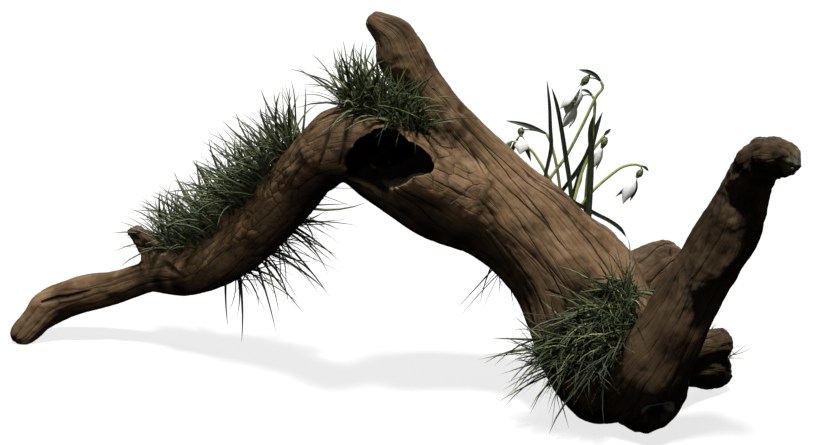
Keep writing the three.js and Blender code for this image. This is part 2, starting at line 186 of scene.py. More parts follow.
# Ridges and valleys that wind up the right limb: how far the surface moves out, then x, y, z and
# reach along each.
RIDGES = [
    [2.8, [[50, -30, 163, 7], [33, -26, 141, 7], [20, -24, 113, 7], [15, -28, 80, 8],
        [10, -26, 44, 12]]],
    [-2.8, [[38, -24, 161, 6], [26, -20, 141, 6], [10, -14, 113, 6]]],
    [-3, [[57, -28, 139, 6], [42, -30, 124, 6], [34, -27, 97, 6]]],
    [2.2, [[38, -5, 173, 8], [18, 0, 134, 8], [7, 3, 112, 8]]],
    [2.2, [[56, -31, 158, 6], [54, -30, 146, 6], [38, -30, 130, 6]]],
    [2.2, [[68, -44, 230, 6], [78, -48, 228, 6], [85, -48, 232, 6]]],
    [-2.2, [[62, -36, 230, 5], [68, -44, 222, 5], [78, -48, 222, 5]]],
]
# Knobbly wood: x, y, z, reach and amount.
KNOBBLY = [
    [80, -36, 222, 34, 1.0], [60, -22, 188, 24, 0.7], [42, -26, 130, 34, 0.35],
    [-392, 187, 88, 20, 0.9], [30, 126, 96, 24, 0.6], [70, 88, 40, 20, 0.8],
    [64, 88, 18, 20, 0.8], [-482, 202, 24, 26, 0.4], [-174, 84, 262, 30, 0.5],
    [-144, 80, 222, 26, 0.5], [-120, 66, 170, 28, 0.35], [-246, 70, 186, 40, 0.3],
]

# Beds of grass: x, y, z and reach of the wood that each tuft grows on.
TUFTS = {
    "grass_left_limb": {
        "bed": [
            [-370, 190, 84, 12], [-352, 182, 93, 19], [-320, 162, 117, 21],
            [-292, 140, 147, 21], [-268, 115, 177, 19], [-256, 100, 193, 12],
        ],
        "lean": (-0.5, -0.15, 0.95), "spread": 0.7, "length": 63, "count": 1200, "droop": 6,
        "side": (-0.45, 0.55, 0.6), "keep": -0.15,
    },
    "grass_arch_top": {
        "bed": [[-208, 68, 236, 12], [-196, 72, 238, 18], [-180, 76, 232, 20], [-162, 82, 219, 14]],
        "lean": (-0.25, -0.15, 0.95), "spread": 1.0, "length": 66, "count": 620, "droop": 12,
        "side": (-0.1, -0.1, 1.0), "keep": 0.25,
    },
    "grass_under_limb": {
        "bed": [
            [-316, 176, 72, 16], [-290, 158, 100, 18], [-266, 138, 132, 18], [-254, 124, 150, 10],
        ],
        "lean": (0.85, 0.0, -0.25), "spread": 1.1, "length": 58, "count": 130, "droop": 4,
        "side": (0.5, 0.6, -0.6), "keep": 0.1,
    },
    "grass_crotch": {
        "bed": [
            [6, 44, 116, 12], [-8, 26, 98, 18], [-26, 12, 80, 25], [-46, 6, 66, 25],
            [-66, 14, 58, 20],
        ],
        "lean": (-0.75, -0.45, 0.5), "spread": 1.1, "length": 54, "count": 1150, "droop": 9,
        "side": (-0.4, -0.9, 0.1), "keep": -0.05,
    },
    "grass_back_stub": {
        "bed": [[36, 92, 66, 14], [56, 92, 56, 14], [68, 94, 36, 14], [72, 98, 22, 12]],
        "lean": (0.6, 0.2, 0.4), "spread": 0.8, "length": 28, "count": 60, "droop": 3,
        "side": (0.5, 0.6, 0.2), "keep": -0.1,
    },
    "grass_trunk_back": {
        "bed": [[-98, 108, 104, 10], [-106, 108, 96, 12]],
        "lean": (-0.5, 0.0, -0.7), "spread": 0.4, "length": 62, "count": 9, "droop": 12,
        "side": (0.0, 0.5, -0.8), "keep": 0.0,
    },
}

# Strap leaves: x, y, z and half width along each, and how much wider they are grown.
LEAF_FULLNESS = 1.25
LEAVES = {
    "leaf_1": [
        [-68, 102, 163.5, 1.1], [-67, 103, 171.5, 1.1], [-65, 103, 182, 1.2],
        [-63, 103, 194, 1.3], [-64, 103, 208.5, 1.2], [-65, 103, 226.5, 1],
        [-67.5, 103, 247, 0.4],
    ],
    "leaf_2": [
        [-46.5, 97, 149, 1.2], [-49, 99, 170, 1.5], [-52, 100, 187, 1.5],
        [-55.5, 100, 207.5, 1.4], [-60, 100, 229, 1.1], [-64, 100, 241.5, 0.4],
    ],
    "leaf_3": [
        [-34, 98, 132.5, 2], [-33.5, 99, 141.5, 2], [-32.5, 102, 173, 2],
        [-32.5, 103, 191.5, 1.8], [-33.5, 103, 208.5, 1.5], [-31, 103, 221, 0.4],
    ],
    "leaf_4": [
        [-53.5, 124, 148.5, 1.2], [-51.5, 125, 153, 1.2], [-44.5, 126, 162.5, 1.4],
        [-35, 127, 176.5, 1.9], [-30.5, 127, 187.5, 2], [-27.5, 127, 200, 1.8],
        [-22, 127, 216, 0.4],
    ],
    "leaf_5": [
        [-47, 121, 130, 1.2], [-44, 124, 146, 1.4], [-39.5, 126, 160, 2], [-38, 127, 167, 1.6],
        [-37, 127, 173, 0.4],
    ],
    "leaf_6": [
        [-47, 104, 152, 1.1], [-43, 104, 149, 1.2], [-34, 106, 143.5, 1.3],
        [-26.5, 107, 139, 1.3], [-16, 107, 133.5, 1.3], [-7.5, 107, 127, 1.2],
        [-2.5, 107, 120, 0.4],
    ],
}

# The flowers: x, y, z and a half width or radius along each part, and no radius for a stem.
# `shaded` numbers the petals painted in shade, with a dark copy of the petal colour. Petals and
# seed cases are grown wider than their stations say.
PETAL_FULLNESS = 1.2
OVARY_FULLNESS = 1.25
PLANT_FRONT = (0, -1, 0.2)  # the way that leaves and flowers face
SNOWDROPS = {
    "a": {
        "shaded": (3,),
        "stem": [[-68, 106, 154], [-64.5, 107, 165], [-51, 108, 185.5], [-38, 108, 212.5],
            [-29, 108, 233], [-24.5, 108, 239.5], [-26, 108, 244]],
        "spathe": [[-27, 108, 245.4, 0.8], [-30, 108, 248.5, 1.5], [-35.5, 108, 251.5, 1.7],
            [-43.5, 108, 253.5, 0.4]],
        "ovary": [[-35, 108, 249, 0.6], [-36.5, 108, 247, 1.7], [-38.5, 108, 244.2, 2.2],
            [-40.4, 108, 242, 1.3]],
        "petals": [
            [[-42.5, 106.5, 240.4, 0.9], [-48, 104, 237, 3], [-54, 102, 230.5, 3.4],
                [-57, 103, 224, 0.8]],
            [[-40.8, 106.4, 239.6, 0.8], [-40.5, 104.5, 233, 2.9], [-42.5, 104, 227, 2.9],
                [-45.5, 105, 221, 0.8]],
            [[-42, 110, 239.5, 0.9], [-46, 113, 231.5, 3], [-50, 114, 223.5, 3.1],
                [-51.5, 113, 216.5, 0.8]],
        ],
        "cup": [[-42.6, 108.4, 237.6, 1], [-44.2, 108.6, 234, 2], [-46.4, 108.8, 229, 2.1]],
    },
    "b": {
        "shaded": (2, 3),
        "stem": [[-52, 116, 147.5], [-54, 117, 155.5], [-57, 118, 173], [-60.5, 118, 187.5],
            [-63.5, 118, 196], [-65.5, 118, 200]],
        "spathe": [[-66.7, 118, 200.9, 0.8], [-74, 118, 204, 1.8], [-83, 118, 207.5, 1.8],
            [-97.5, 118, 211, 0.4]],
        "ovary": [[-84.5, 118, 205, 0.6], [-85, 118, 203.8, 1.8], [-85.4, 118, 202, 2.2],
            [-85.5, 118, 200, 1.5]],
        "petals": [
            [[-85.5, 116, 198, 1], [-85, 112, 195.5, 4.2], [-85.5, 110, 191, 4.4],
                [-86.5, 110, 186, 0.9]],
            [[-83.8, 119, 197.6, 0.9], [-80.5, 121, 191.5, 3], [-78, 122, 184, 2.8],
                [-77, 121, 177, 0.6]],
            [[-87.4, 119, 197.6, 0.9], [-91, 121, 192, 3], [-93, 122, 186, 2.9],
                [-92, 121, 179, 0.6]],
        ],
        "cup": [[-85.5, 117.4, 196.4, 1], [-85.5, 117.2, 192, 2.2], [-85.6, 117, 188, 2.3]],
    },
    "c": {
        "shaded": (3,),
        "stem": [[-46, 108, 141.5], [-44, 110, 148], [-37.5, 116, 171], [-31.5, 119, 184],
            [-24, 121, 194], [-21.4, 121, 197.6]],
        "spathe": [[-20.6, 121, 198.8, 0.7], [-19, 121, 200.6, 1.4], [-16, 121, 203.5, 0.4]],
        "ovary": [[-19, 121, 196.4, 0.5], [-19.7, 121, 194.5, 1.5], [-21.2, 121, 191.5, 1.9],
            [-22.3, 121, 188.8, 1.1]],
        "petals": [
            [[-23.4, 119.6, 187, 0.8], [-26, 118, 183, 2.3], [-28, 117.6, 178, 2.3],
                [-30.5, 118.6, 171, 0.6]],
            [[-21.8, 121.6, 186.6, 0.8], [-21.6, 122.4, 181, 2.1], [-23.4, 122.6, 176, 2.1],
                [-26.6, 122.2, 170, 0.6]],
            [[-23.8, 123, 186, 0.8], [-27.4, 124.6, 181.4, 1.9], [-30, 124.6, 176.6, 1.8],
                [-31.6, 124, 171.4, 0.6]],
        ],
        "cup": [[-23.6, 121.1, 185, 0.7], [-24.8, 120.9, 181.4, 1.2], [-26.4, 120.8, 177.4, 1.2]],
    },
    "d": {
        "shaded": (2, 3),
        "stem": [[-45.5, 108, 135], [-40, 109, 143], [-29.5, 110, 157], [-16.5, 111, 169],
            [-7, 111, 176], [2.5, 111, 178], [7.3, 111, 176.6]],
        "spathe": [[8.4, 111, 176.2, 0.7], [10.5, 111, 175, 1.2], [13, 111, 172.5, 0.4]],
        "ovary": [[8.2, 111, 174.2, 0.5], [7.4, 111, 172.6, 1.5], [5.8, 111, 170, 2.1],
            [4.4, 111, 168.2, 1.2]],
        "petals": [
            [[3, 109.4, 166.6, 0.9], [-0.5, 106, 162, 3.5], [-4, 105, 156, 3.5],
                [-6.5, 106, 147.5, 0.8]],
            [[4.4, 111.4, 165.8, 0.9], [5.2, 112.2, 159.5, 2.6], [3.6, 112.6, 154, 2.6],
                [-0.5, 112, 148, 0.8]],
            [[2.4, 113, 165.5, 0.9], [-2.4, 115, 160.5, 2.9], [-7, 116, 155.5, 2.8],
                [-11.5, 115, 150.5, 0.6]],
        ],
        "cup": [[2.6, 111, 164, 1], [0.6, 110.6, 160, 2], [-1.8, 110.4, 155.6, 2]],
    },
    "e": {
        "shaded": (3,),
        "stem": [[-61, 112, 162], [-66, 113, 170.5], [-71.5, 114, 180], [-76.5, 115, 187],
            [-83, 115, 192.5], [-90, 115, 195]],
        "ovary": [[-92.2, 115, 195.4, 0.5], [-94.4, 115, 193, 1.5], [-96, 115, 190.5, 1.8],
            [-97, 115, 189, 1.1]],
        "petals": [
            [[-98.4, 113.4, 187.5, 0.9], [-101, 112, 183.5, 2.4], [-103, 111.5, 179, 2.4],
                [-104.5, 112, 174, 0.6]],
            [[-97, 115.8, 187, 0.9], [-97.2, 117, 181.5, 2.2], [-98.6, 117.4, 176.5, 2.2],
                [-101, 116.4, 171, 0.6]],
            [[-99, 117.4, 186.5, 0.9], [-102, 119, 182.5, 2.2], [-104, 120, 177.5, 2.2],
                [-105.5, 119.4, 172.5, 0.6]],
        ],
    },
    "f": {
        "shaded": (3,),
        "stem": [[-35, 112, 138], [-34, 113, 165], [-31, 114, 196.5], [-29.5, 115, 221],
            [-29.5, 115, 227], [-31.6, 115, 231.2]],
        "spathe": [[-32.8, 115, 232.6, 0.7], [-36, 115, 235, 1.2], [-41, 115, 236, 0.4]],
        "ovary": [[-39.3, 115, 232.2, 0.5], [-40.4, 115, 230.6, 1.4], [-42.4, 115, 228, 1.8],
            [-43.8, 115, 226.2, 1.1]],
        "petals": [
            [[-44.6, 113.4, 224.4, 0.8], [-48.2, 111.6, 219.5, 2.4], [-52, 111, 212, 2.6],
                [-54.5, 111.6, 206.5, 0.8]],
            [[-43.6, 115.6, 223.8, 0.8], [-42.6, 117, 217.5, 2.4], [-44.4, 117.4, 211, 2.4],
                [-49, 116.4, 205, 0.8]],
            [[-45.2, 117, 223.2, 0.8], [-49.4, 119, 218, 2.4], [-52, 120, 212.5, 2.4],
                [-53, 119.4, 207, 0.8]],
        ],
    },
}

# ---- Stage, in metres ----

# Suns: the way to each, how wide it looks in degrees and its power.
SUNS = {
    "key": ((0.03, -0.22, 1.0), 8.0, 5.2),
    "side": ((-0.1, -1.0, 0.15), 30.0, 0.1),
    "back": ((0.25, 1.0, 0.4), 30.0, 1.5),
}
# A narrow beam on the grass of the left limb: place, aim, watts and degrees.
BEAM_AT, BEAM_AIM = Vector((-0.78, -1.15, 0.76)), Vector((-0.29, 0.10, 0.145))
BEAM_POWER, BEAM_WIDTH = 36.0, 13.0
# The camera's aim, its rise in degrees, how far away it is and its lens in millimetres.
CAMERA_AIM = Vector((-0.169, 0.068, 0.141))
CAMERA_RISE, CAMERA_AWAY, CAMERA_LENS = 18.0, 1.5, 87.3
SKY_SHARE = 0.02  # how brightly the white background lights the branch
FLOOR_REACH, FLOOR_DROP, FLOOR_GLOW = 6, 0.0005, 0.78


# ---- Node trees ----


class Wire:
    """A node's output; Python's operators on it add the nodes that work the sum out."""

    def __init__(self, board, socket):
        self.board = board
        self.socket = socket

    def of(self, name):
        """Another output of the same node."""
        node = self.socket.node
        return Wire(self.board, next(s for s in node.outputs if s.identifier == name))

    def _sum(self, operation, first, second):
        pair = [x for x in (first, second) if isinstance(x, Wire)]
        if any(x.socket.type == "VECTOR" for x in pair):
            return self.board.vector(operation, first, second)
        return self.board.math(operation, first, second)

    def __add__(self, other):
        return self._sum("ADD", self, other)

    def __radd__(self, other):
        return self._sum("ADD", other, self)

    def __sub__(self, other):
        return self._sum("SUBTRACT", self, other)

    def __rsub__(self, other):
        return self._sum("SUBTRACT", other, self)

    def __mul__(self, other):
        return self._sum("MULTIPLY", self, other)

    def __rmul__(self, other):
        return self._sum("MULTIPLY", other, self)

    def __truediv__(self, other):
        return self._sum("DIVIDE", self, other)

    def __pow__(self, other):
        return self.board.math("POWER", self, other)


class Board:
    """A shader or geometry tree that nodes are added to."""

    def __init__(self, tree):
        self.tree = tree
        self.geometric = tree.bl_idname == "GeometryNodeTree"

    def node(self, kind, settings=None, sockets=None, out=None):
        """Adds a node of this type and returns the wire of its first or its named output."""
        node = self.tree.nodes.new(kind)
        for key, value in (settings or {}).items():
            if key == "stops":
                self._stops(node.color_ramp, value)
            else:
                setattr(node, key, value)
        for key, value in (sockets or {}).items():
            socket = next(s for s in node.inputs if s.identifier == key)
            for one in value if isinstance(value, list) else [value]:
                if isinstance(one, Wire):
                    self.tree.links.new(one.socket, socket)
                elif hasattr(socket.default_value, "__len__") and not isinstance(one, str):
                    size = len(socket.default_value)
                    full = [one] * size if isinstance(one, (int, float)) else list(one)
                    socket.default_value = full[:size] + [1.0] * (size - len(full))
                else:
                    socket.default_value = one
        if not node.outputs:
            return None
        if out:
            return Wire(self, next(s for s in node.outputs if s.identifier == out))
        return Wire(self, next((s for s in node.outputs if s.enabled), node.outputs[0]))

    def _stops(self, ramp, stops):
        while len(ramp.elements) < len(stops):
            ramp.elements.new(1.0)
        for element, (at, colour) in zip(ramp.elements, stops):
            element.position = at
            element.color = (*colour, 1.0)

    def math(self, operation, first, second=0.0):
        sockets = {"Value": first, "Value_001": second}
        return self.node("ShaderNodeMath", {"operation": operation}, sockets)

    def vector(self, operation, first, second=0.0):
        settings = {"operation": operation}
        if operation == "SCALE":
            sockets = {"Vector": first, "Scale": second}
        else:
            sockets = {"Vector": self._spread(first), "Vector_001": self._spread(second)}
        return self.node("ShaderNodeVectorMath", settings, sockets)

    def _spread(self, value):
        """A number wire as a vector of that number three times."""
        if isinstance(value, Wire) and value.socket.type == "VALUE":
            return self.join(value, value, value)
        return value

    def join(self, x, y, z):
        return self.node("ShaderNodeCombineXYZ", {}, {"X": x, "Y": y, "Z": z})

    def split(self, value):
        x = self.node("ShaderNodeSeparateXYZ", {}, {"Vector": value})
        return x, x.of("Y"), x.of("Z")

    def mix(self, share, first, second):
        """A colour between two others."""
        sockets = {"Factor_Float": share, "A_Color": first, "B_Color": second}
        settings = {"data_type": "RGBA", "clamp_factor": True}
        return self.node("ShaderNodeMix", settings, sockets, "Result_Color")

    def fade(self, share, first, second):
        """A number between two others."""
        return first + (second - first) * share

    def ease(self, value, low, high, first=0.0, last=1.0):
        """A smooth step of the value from `low` to `high`."""
        sockets = {"Value": value, "From Min": low, "From Max": high}
        sockets |= {"To Min": first, "To Max": last}
        settings = {"interpolation_type": "SMOOTHSTEP"}
        return self.node("ShaderNodeMapRange", settings, sockets)

    def noise(self, spot, scale, detail=2.0, roughness=0.5):
        sockets = {"Vector": spot, "Scale": scale, "Detail": detail, "Roughness": roughness}
        return self.node("ShaderNodeTexNoise", {"noise_dimensions": "3D"}, sockets)

    def edges(self, x, y):
        """How far a spot on a flat map is from the nearest border between two cells."""
        settings = {"voronoi_dimensions": "2D", "feature": "DISTANCE_TO_EDGE"}
        sockets = {"Vector": self.join(x, y, 0.0), "Scale": 1.0, "Randomness": 0.95}
        return self.node("ShaderNodeTexVoronoi", settings, sockets)

    def attribute(self, name, vector=False):
        if self.geometric:
            settings = {"data_type": "FLOAT_VECTOR" if vector else "FLOAT"}
            return self.node("GeometryNodeInputNamedAttribute", settings, {"Name": name})
        settings = {"attribute_name": name, "attribute_type": "GEOMETRY"}
        return self.node("ShaderNodeAttribute", settings, {}, "Vector" if vector else "Fac")

    def spot(self):
        """The place on the object."""
        return self.node("ShaderNodeTexCoord", {}, {}, "Object")

    def lines(self, across, along, detail=2.0):
        """Noise drawn out upwards, for the veins of leaves, stems and petals."""
        x, y, z = self.split(self.spot())
        return self.noise(self.join(x * across, y * across, z * along), 1.0, detail)

    def random_float(self, low, high, seed):
        sockets = {"Min_001": low, "Max_001": high, "Seed": seed}
        settings = {"data_type": "FLOAT"}
        return self.node("FunctionNodeRandomValue", settings, sockets, "Value_001")

    def random_whole(self, low, high, seed):
        sockets = {"Min_002": low, "Max_002": high, "Seed": seed}
        return self.node("FunctionNodeRandomValue", {"data_type": "INT"}, sockets, "Value_002")

    def store(self, geometry, domain, name, value):
        """Stores a number on every point or instance of a geometry."""
        settings = {"data_type": "FLOAT", "domain": domain}
        sockets = {"Geometry": geometry, "Name": name, "Value": value}
        return self.node("GeometryNodeStoreNamedAttribute", settings, sockets)

    def end(self, name, geometry):
        """Makes a geometry the tree's output."""
        last = self.tree.nodes.new("NodeGroupOutput")
        self.tree.links.new(geometry.socket, last.inputs[name])


def new_tree(name, inputs, output):
    """A geometry tree with named inputs, its board, their wires and their identifiers."""
    tree = bpy.data.node_groups.new(name, "GeometryNodeTree")
    sockets = {}
    for key, kind in inputs.items():
        socket = tree.interface.new_socket(key, in_out="INPUT", socket_type="NodeSocket" + kind)
        sockets[key] = socket.identifier
    tree.interface.new_socket(output, in_out="OUTPUT", socket_type="NodeSocketGeometry")
    board = Board(tree)
    entry = board.node("NodeGroupInput").socket.node
    return board, {key: Wire(board, entry.outputs[key]) for key in inputs}, sockets


def new_material(name, colour):
    """A material, the board of its tree and its shader's node."""
    material = bpy.data.materials.new(name)
    material.use_nodes = True
    material.diffuse_color = (*colour[:3], 1.0)
    board = Board(material.node_tree)
    shader = next(n for n in board.tree.nodes if n.type == "BSDF_PRINCIPLED")
    return material, board, shader


def feed(board, shader, **sockets):
    """Links wires to the shader, or sets plain values on it; `_` stands for a space."""
    for key, value in sockets.items():
        socket = shader.inputs[key.replace("_", " ")]
        if isinstance(value, Wire):
            board.tree.links.new(value.socket, socket)
        elif hasattr(socket.default_value, "__len__"):
            socket.default_value = (*value[:3], 1.0)[: len(socket.default_value)]
        else:
            socket.default_value = value


def bumped(board, height, distance, strength=1.0):
    sockets = {"Strength": strength, "Distance": distance, "Height": height}
    return board.node("ShaderNodeBump", {}, sockets)


# ---- Bark: one rule for its relief and for its colour ----

# The colour's grooves are narrower than the relief's, so that only their bottoms are dark; that
# dark is partly the cracks' own colour and partly painted shade.
GROOVE_WIDTHS = {"relief": 2.4, "colour": 0.5}


def bark_of(board, grain, plated, rest, width):
    """How deep in a groove a spot lies, 0 to 1, from its grain: run along and place round."""
    run, ahead, beside = board.split(grain)
    girth = board.vector("LENGTH", board.join(ahead, beside, 0.0)).of("Value")
    turn = board.math("ARCTAN2", beside, ahead)
    sway = board.noise(rest, 13.0, 1.0) - 0.5
    ripple = board.noise(rest, 62.0, 1.0) - 0.5
    round_it = turn * girth + sway * 0.014 + ripple * 0.0024
    along = run + sway * 0.03
    long_edge = board.edges(along / 0.16, round_it / 0.0122)
    plate_edge = board.edges(run / 0.0115 + ripple * 1.2, round_it / 0.0072 + 7.3)
    fine_edge = board.edges(along / 0.07 + 3.1, round_it / 0.0046)
    deep = board.ease(board.noise(rest, 20.0, 2.0), 0.36, 0.56, 0.3, 1.0)
    long_groove = board.ease(long_edge, 0.005, 0.1 * width, 1.0, 0.0) * deep
    plate_groove = board.ease(plate_edge, 0.005, 0.12 * width, 0.7, 0.0)
    fine_groove = board.ease(fine_edge, 0.005, 0.16 * width, 0.22, 0.0)
    seam = board.ease(board.math("ABSOLUTE", turn), 3.05, 3.14, 0.0, 0.8)
    groove = board.fade(plated, long_groove, plate_groove)
    groove = board.math("MAXIMUM", groove, fine_groove * (1.0 - plated * 0.7))
    return board.math("MAXIMUM", groove, seam)


def grooves(board, width):
    """The bark's grooves where two limbs' grains fade into each other."""
    rest = board.attribute("rest", True)
    plated = board.attribute("plated")
    own = bark_of(board, board.attribute("grain_a", True), plated, rest, width)
    other = bark_of(board, board.attribute("grain_b", True), plated, rest, width)
    groove = board.fade(board.attribute("fork"), own, other)
    groove = groove * (1.0 - board.attribute("smoothness") * 0.65)
    return board.math("MAXIMUM", groove, board.attribute("scar")), rest


def stretched(board, grain, long, wide):
    """Noise drawn out along one grain."""
    run, ahead, beside = board.split(board.attribute(grain, True))
    return board.noise(board.join(run * long, ahead * wide, beside * wide), 1.0, 2.0, 0.6)


def knobs_of(board, rest):
    """Small, rough knobs, -0.5 to 0.5, where the wood is knobbly."""
    return (board.noise(rest, 85.0, 2.0, 0.6) - 0.5) * board.attribute("knobbly")


def relief_tree():
    """Pushes the smooth wood in at its grooves and out at its lumps."""
    kinds = {"Wood": "Geometry", "Groove depth": "Float", "Lump height": "Float"}
    board, given, sockets = new_tree("Bark relief", kinds, "Wood")
    depth, lump = given["Groove depth"], given["Lump height"]
    groove, rest = grooves(board, GROOVE_WIDTHS["relief"])
    flow = board.fade(board.attribute("fork"), stretched(board, "grain_a", 11.0, 60.0),
                      stretched(board, "grain_b", 14.0, 60.0))
    lumps = (board.noise(rest, 30.0, 2.0) - 0.5) * 0.55 + (flow - 0.5) * 0.95
    lumps = lumps + knobs_of(board, rest) * 2.0
    pits = board.ease(board.noise(rest, 120.0, 2.0), 0.3, 0.44, 1.0, 0.0)
    pits = pits * (1.0 - board.attribute("smoothness"))
    height = lumps * lump - groove * depth - pits * depth * 0.2
    push = board.vector("SCALE", board.node("GeometryNodeInputNormal"), height)
    sockets_in = {"Geometry": given["Wood"], "Offset": push}
    board.end("Wood", board.node("GeometryNodeSetPosition", {}, sockets_in))
    return board.tree, sockets


def wood_material(colours):
    material, board, shader = new_material("Weathered wood", colours.wood)
    groove, rest = grooves(board, GROOVE_WIDTHS["colour"])
    patches = board.noise(rest, 14.0, 3.0, 0.6)
    blotches = board.noise(rest, 42.0, 3.0, 0.65)
    speckle = board.noise(rest, 260.0, 3.0, 0.6)
    fibre = board.fade(board.attribute("fork"), stretched(board, "grain_a", 60.0, 900.0),
                       stretched(board, "grain_b", 60.0, 900.0))
    streak = board.fade(board.attribute("fork"), stretched(board, "grain_a", 16.0, 240.0),
                        stretched(board, "grain_b", 16.0, 240.0))
    base = board.mix(board.ease(patches, 0.38, 0.62), colours.wood, colours.wood_dark)
    base = board.mix(board.ease(blotches, 0.45, 0.65) * 0.45, base, colours.wood_pale)
    base = board.mix(board.ease(streak, 0.48, 0.66) * 0.5, base, colours.wood_dark)
    base = board.mix(board.ease(fibre, 0.5, 0.75) * 0.35, base, colours.wood_shade_and_grooves)
    base = board.mix(board.ease(speckle, 0.56, 0.7) * 0.5, base, colours.wood_dark)
    base = board.mix(board.ease(blotches, 0.44, 0.3) * 0.6, base, colours.wood_shade_and_grooves)
    # Painted shade in the dips between the knobs.
    base = board.mix(board.ease(knobs_of(board, rest), -0.02, -0.12) * 0.8, base,
                     colours.wood_shade_and_grooves)
    base = board.mix(board.attribute("mossy") * board.ease(patches, 0.3, 0.6, 0.3, 0.9),
                     base, colours.moss)
    base = board.mix(board.attribute("thatch") * 0.7, base, colours.thatch)
    # Painted shade in the grooves' bottoms, over the cracks' own darker colour.
    base = board.mix(groove * 0.85, base, colours.wood_shade_and_grooves)
    # Painted shade and a few real stains: the wood darkens to near black by the stored amount.
    base = board.mix(board.attribute("damp"), base, colours.wood_shade_and_grooves)
    # A painted highlight on the knot's upper edge, and the cut face's own pale colour.
    base = board.mix(board.attribute("rim"), base, colours.rim)
    rough = board.fade(board.attribute("damp"), board.ease(speckle, 0.3, 0.7, 0.55, 0.85), 0.95)
    height = fibre * 0.2 + speckle * 0.25 + streak * 0.5 - groove * 1.3
    feed(board, shader, Base_Color=base, Roughness=rough, Specular_IOR_Level=0.16,
         Normal=bumped(board, height, 0.001, 0.8))
    return material


# ---- Shapes ----


def placed(rows):
    """Stations in millimetres as rows in metres, in the frame of the part."""
    rows = np.array(rows, float)
    rows[:, :3] -= HEEL
    return rows * MM


def smooth_rows(rows, count):
    """`count` rows at even steps of a smooth curve through all the stations."""
    gaps = np.linalg.norm(np.diff(rows[:, :3], axis=0), axis=1) ** 0.5
    knots = np.concatenate([[0.0], np.cumsum(gaps)])
    slopes = np.gradient(rows, knots, axis=0)
    at = np.linspace(0.0, knots[-1], count)
    i = np.clip(np.searchsorted(knots, at, side="right") - 1, 0, len(rows) - 2)
    gap = (knots[i + 1] - knots[i])[:, None]
    t = (at - knots[i])[:, None] / gap
    start = (2 * t**3 - 3 * t**2 + 1) * rows[i] + (t**3 - 2 * t**2 + t) * gap * slopes[i]
    end = (3 * t**2 - 2 * t**3) * rows[i + 1] + (t**3 - t**2) * gap * slopes[i + 1]
    return start + end


def unit(vectors):
    return vectors / np.linalg.norm(vectors, axis=-1, keepdims=True)


def frames_along(middles, facing):
    """The way along a path and two directions across it, carried on without a twist."""
    tangents = unit(np.gradient(middles, axis=0))
    front = np.array(facing, float)
    fronts = []
    for tangent in tangents:
        front = unit(front - tangent * front.dot(tangent))
        fronts.append(front)
    fronts = np.array(fronts)
    return tangents, fronts, np.cross(tangents, fronts)


def ring_faces(rings, sides):
    """Quads between rings of points, with a fan to a pole at both ends."""
    faces = []
    for ring in range(rings - 1):
        for side in range(sides):
            beside = (side + 1) % sides
            low, high = ring * sides, (ring + 1) * sides
            faces.append((low + side, low + beside, high + beside, high + side))
    first, last = rings * sides, rings * sides + 1
    for side in range(sides):
        beside = (side + 1) % sides
        faces.append((first, beside, side))
        faces.append((last, (rings - 1) * sides + side, (rings - 1) * sides + beside))
    return faces


def tube(rows, facing=ARM_FRONT, sides=40, blunt=0.6, thick=1.0, flutes=0.0):
    """A closed, round body along rows of x, y, z and radius, with domed ends and soft flutes."""
    middles, radii = rows[:, :3], rows[:, 3]
    tangents, fronts, besides = frames_along(middles, facing)
    swings = np.radians(DOME_SWINGS)
    index = np.pad(np.arange(len(rows)), len(swings), mode="edge")
    reach = np.concatenate([-np.cos(swings), np.zeros(len(rows)), np.cos(swings[::-1])])
    size = np.concatenate([np.sin(swings), np.ones(len(rows)), np.sin(swings[::-1])])
    centres = middles[index] + tangents[index] * (reach * radii[index] * blunt)[:, None]
    turns = np.linspace(0, 2 * math.pi, sides, endpoint=False)
    run = np.arange(len(index))[:, None] / len(index)
    wave = np.sin(3 * turns + 6 * run + 0.4) + 0.6 * np.sin(5 * turns + 10 * run + 2.1)
    wave = wave + 0.4 * np.sin(8 * turns + 15 * run)
    widths = (radii[index] * size)[:, None] * (1 + flutes * wave)
    points = centres[:, None] + fronts[index][:, None] * (widths * thick * np.cos(turns))[..., None]
    points = points + besides[index][:, None] * (widths * np.sin(turns))[..., None]
    poles = middles[[0, -1]] + tangents[[0, -1]] * (radii[[0, -1]] * [-blunt, blunt])[:, None]
    return np.concatenate([points.reshape(-1, 3), poles]), ring_faces(len(index), sides)


def new_object(name, points, faces):
    mesh = bpy.data.meshes.new(name)
    mesh.from_pydata([tuple(p) for p in points], [], faces)
    mesh.validate()
    piece = bpy.data.objects.new(name, mesh)
    bpy.context.scene.collection.objects.link(piece)
    return piece


def joined(shapes):
    """Several (points, faces) as one."""
    points, faces, count = [], [], 0
    for spots, quads in shapes:
        points.append(spots)
        faces += [tuple(i + count for i in quad) for quad in quads]
        count += len(spots)
    return np.concatenate(points), faces


def outward_faces(piece):
    """Turns every face of a closed mesh outwards."""
    shell = bmesh.new()
    shell.from_mesh(piece.data)
    bmesh.ops.remove_doubles(shell, verts=shell.verts, dist=1e-6)
    bmesh.ops.recalc_face_normals(shell, faces=shell.faces)
    shell.to_mesh(piece.data)
    shell.free()


def settled(piece):
    """The piece with its modifiers worked into a plain mesh."""
    bpy.context.view_layer.update()
    graph = bpy.context.evaluated_depsgraph_get()
    mesh = bpy.data.meshes.new_from_object(piece.evaluated_get(graph))
    piece.modifiers.clear()
    old, piece.data = piece.data, mesh
    bpy.data.meshes.remove(old)
    return piece


def dropped(*pieces):
    for piece in pieces:
        mesh = piece.data
        bpy.data.objects.remove(piece)
        bpy.data.meshes.remove(mesh)


def kept_piece(piece, node, material):
    """Gives a finished piece its finish and its place in the frame."""
    piece.name = "grown_" + node
    piece.data.name = piece.name
    piece.data.materials.clear()
    piece.data.materials.append(material)
    piece.data.polygons.foreach_set("use_smooth", [True] * len(piece.data.polygons))
    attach(piece, "root")
    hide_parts(node)
    return piece


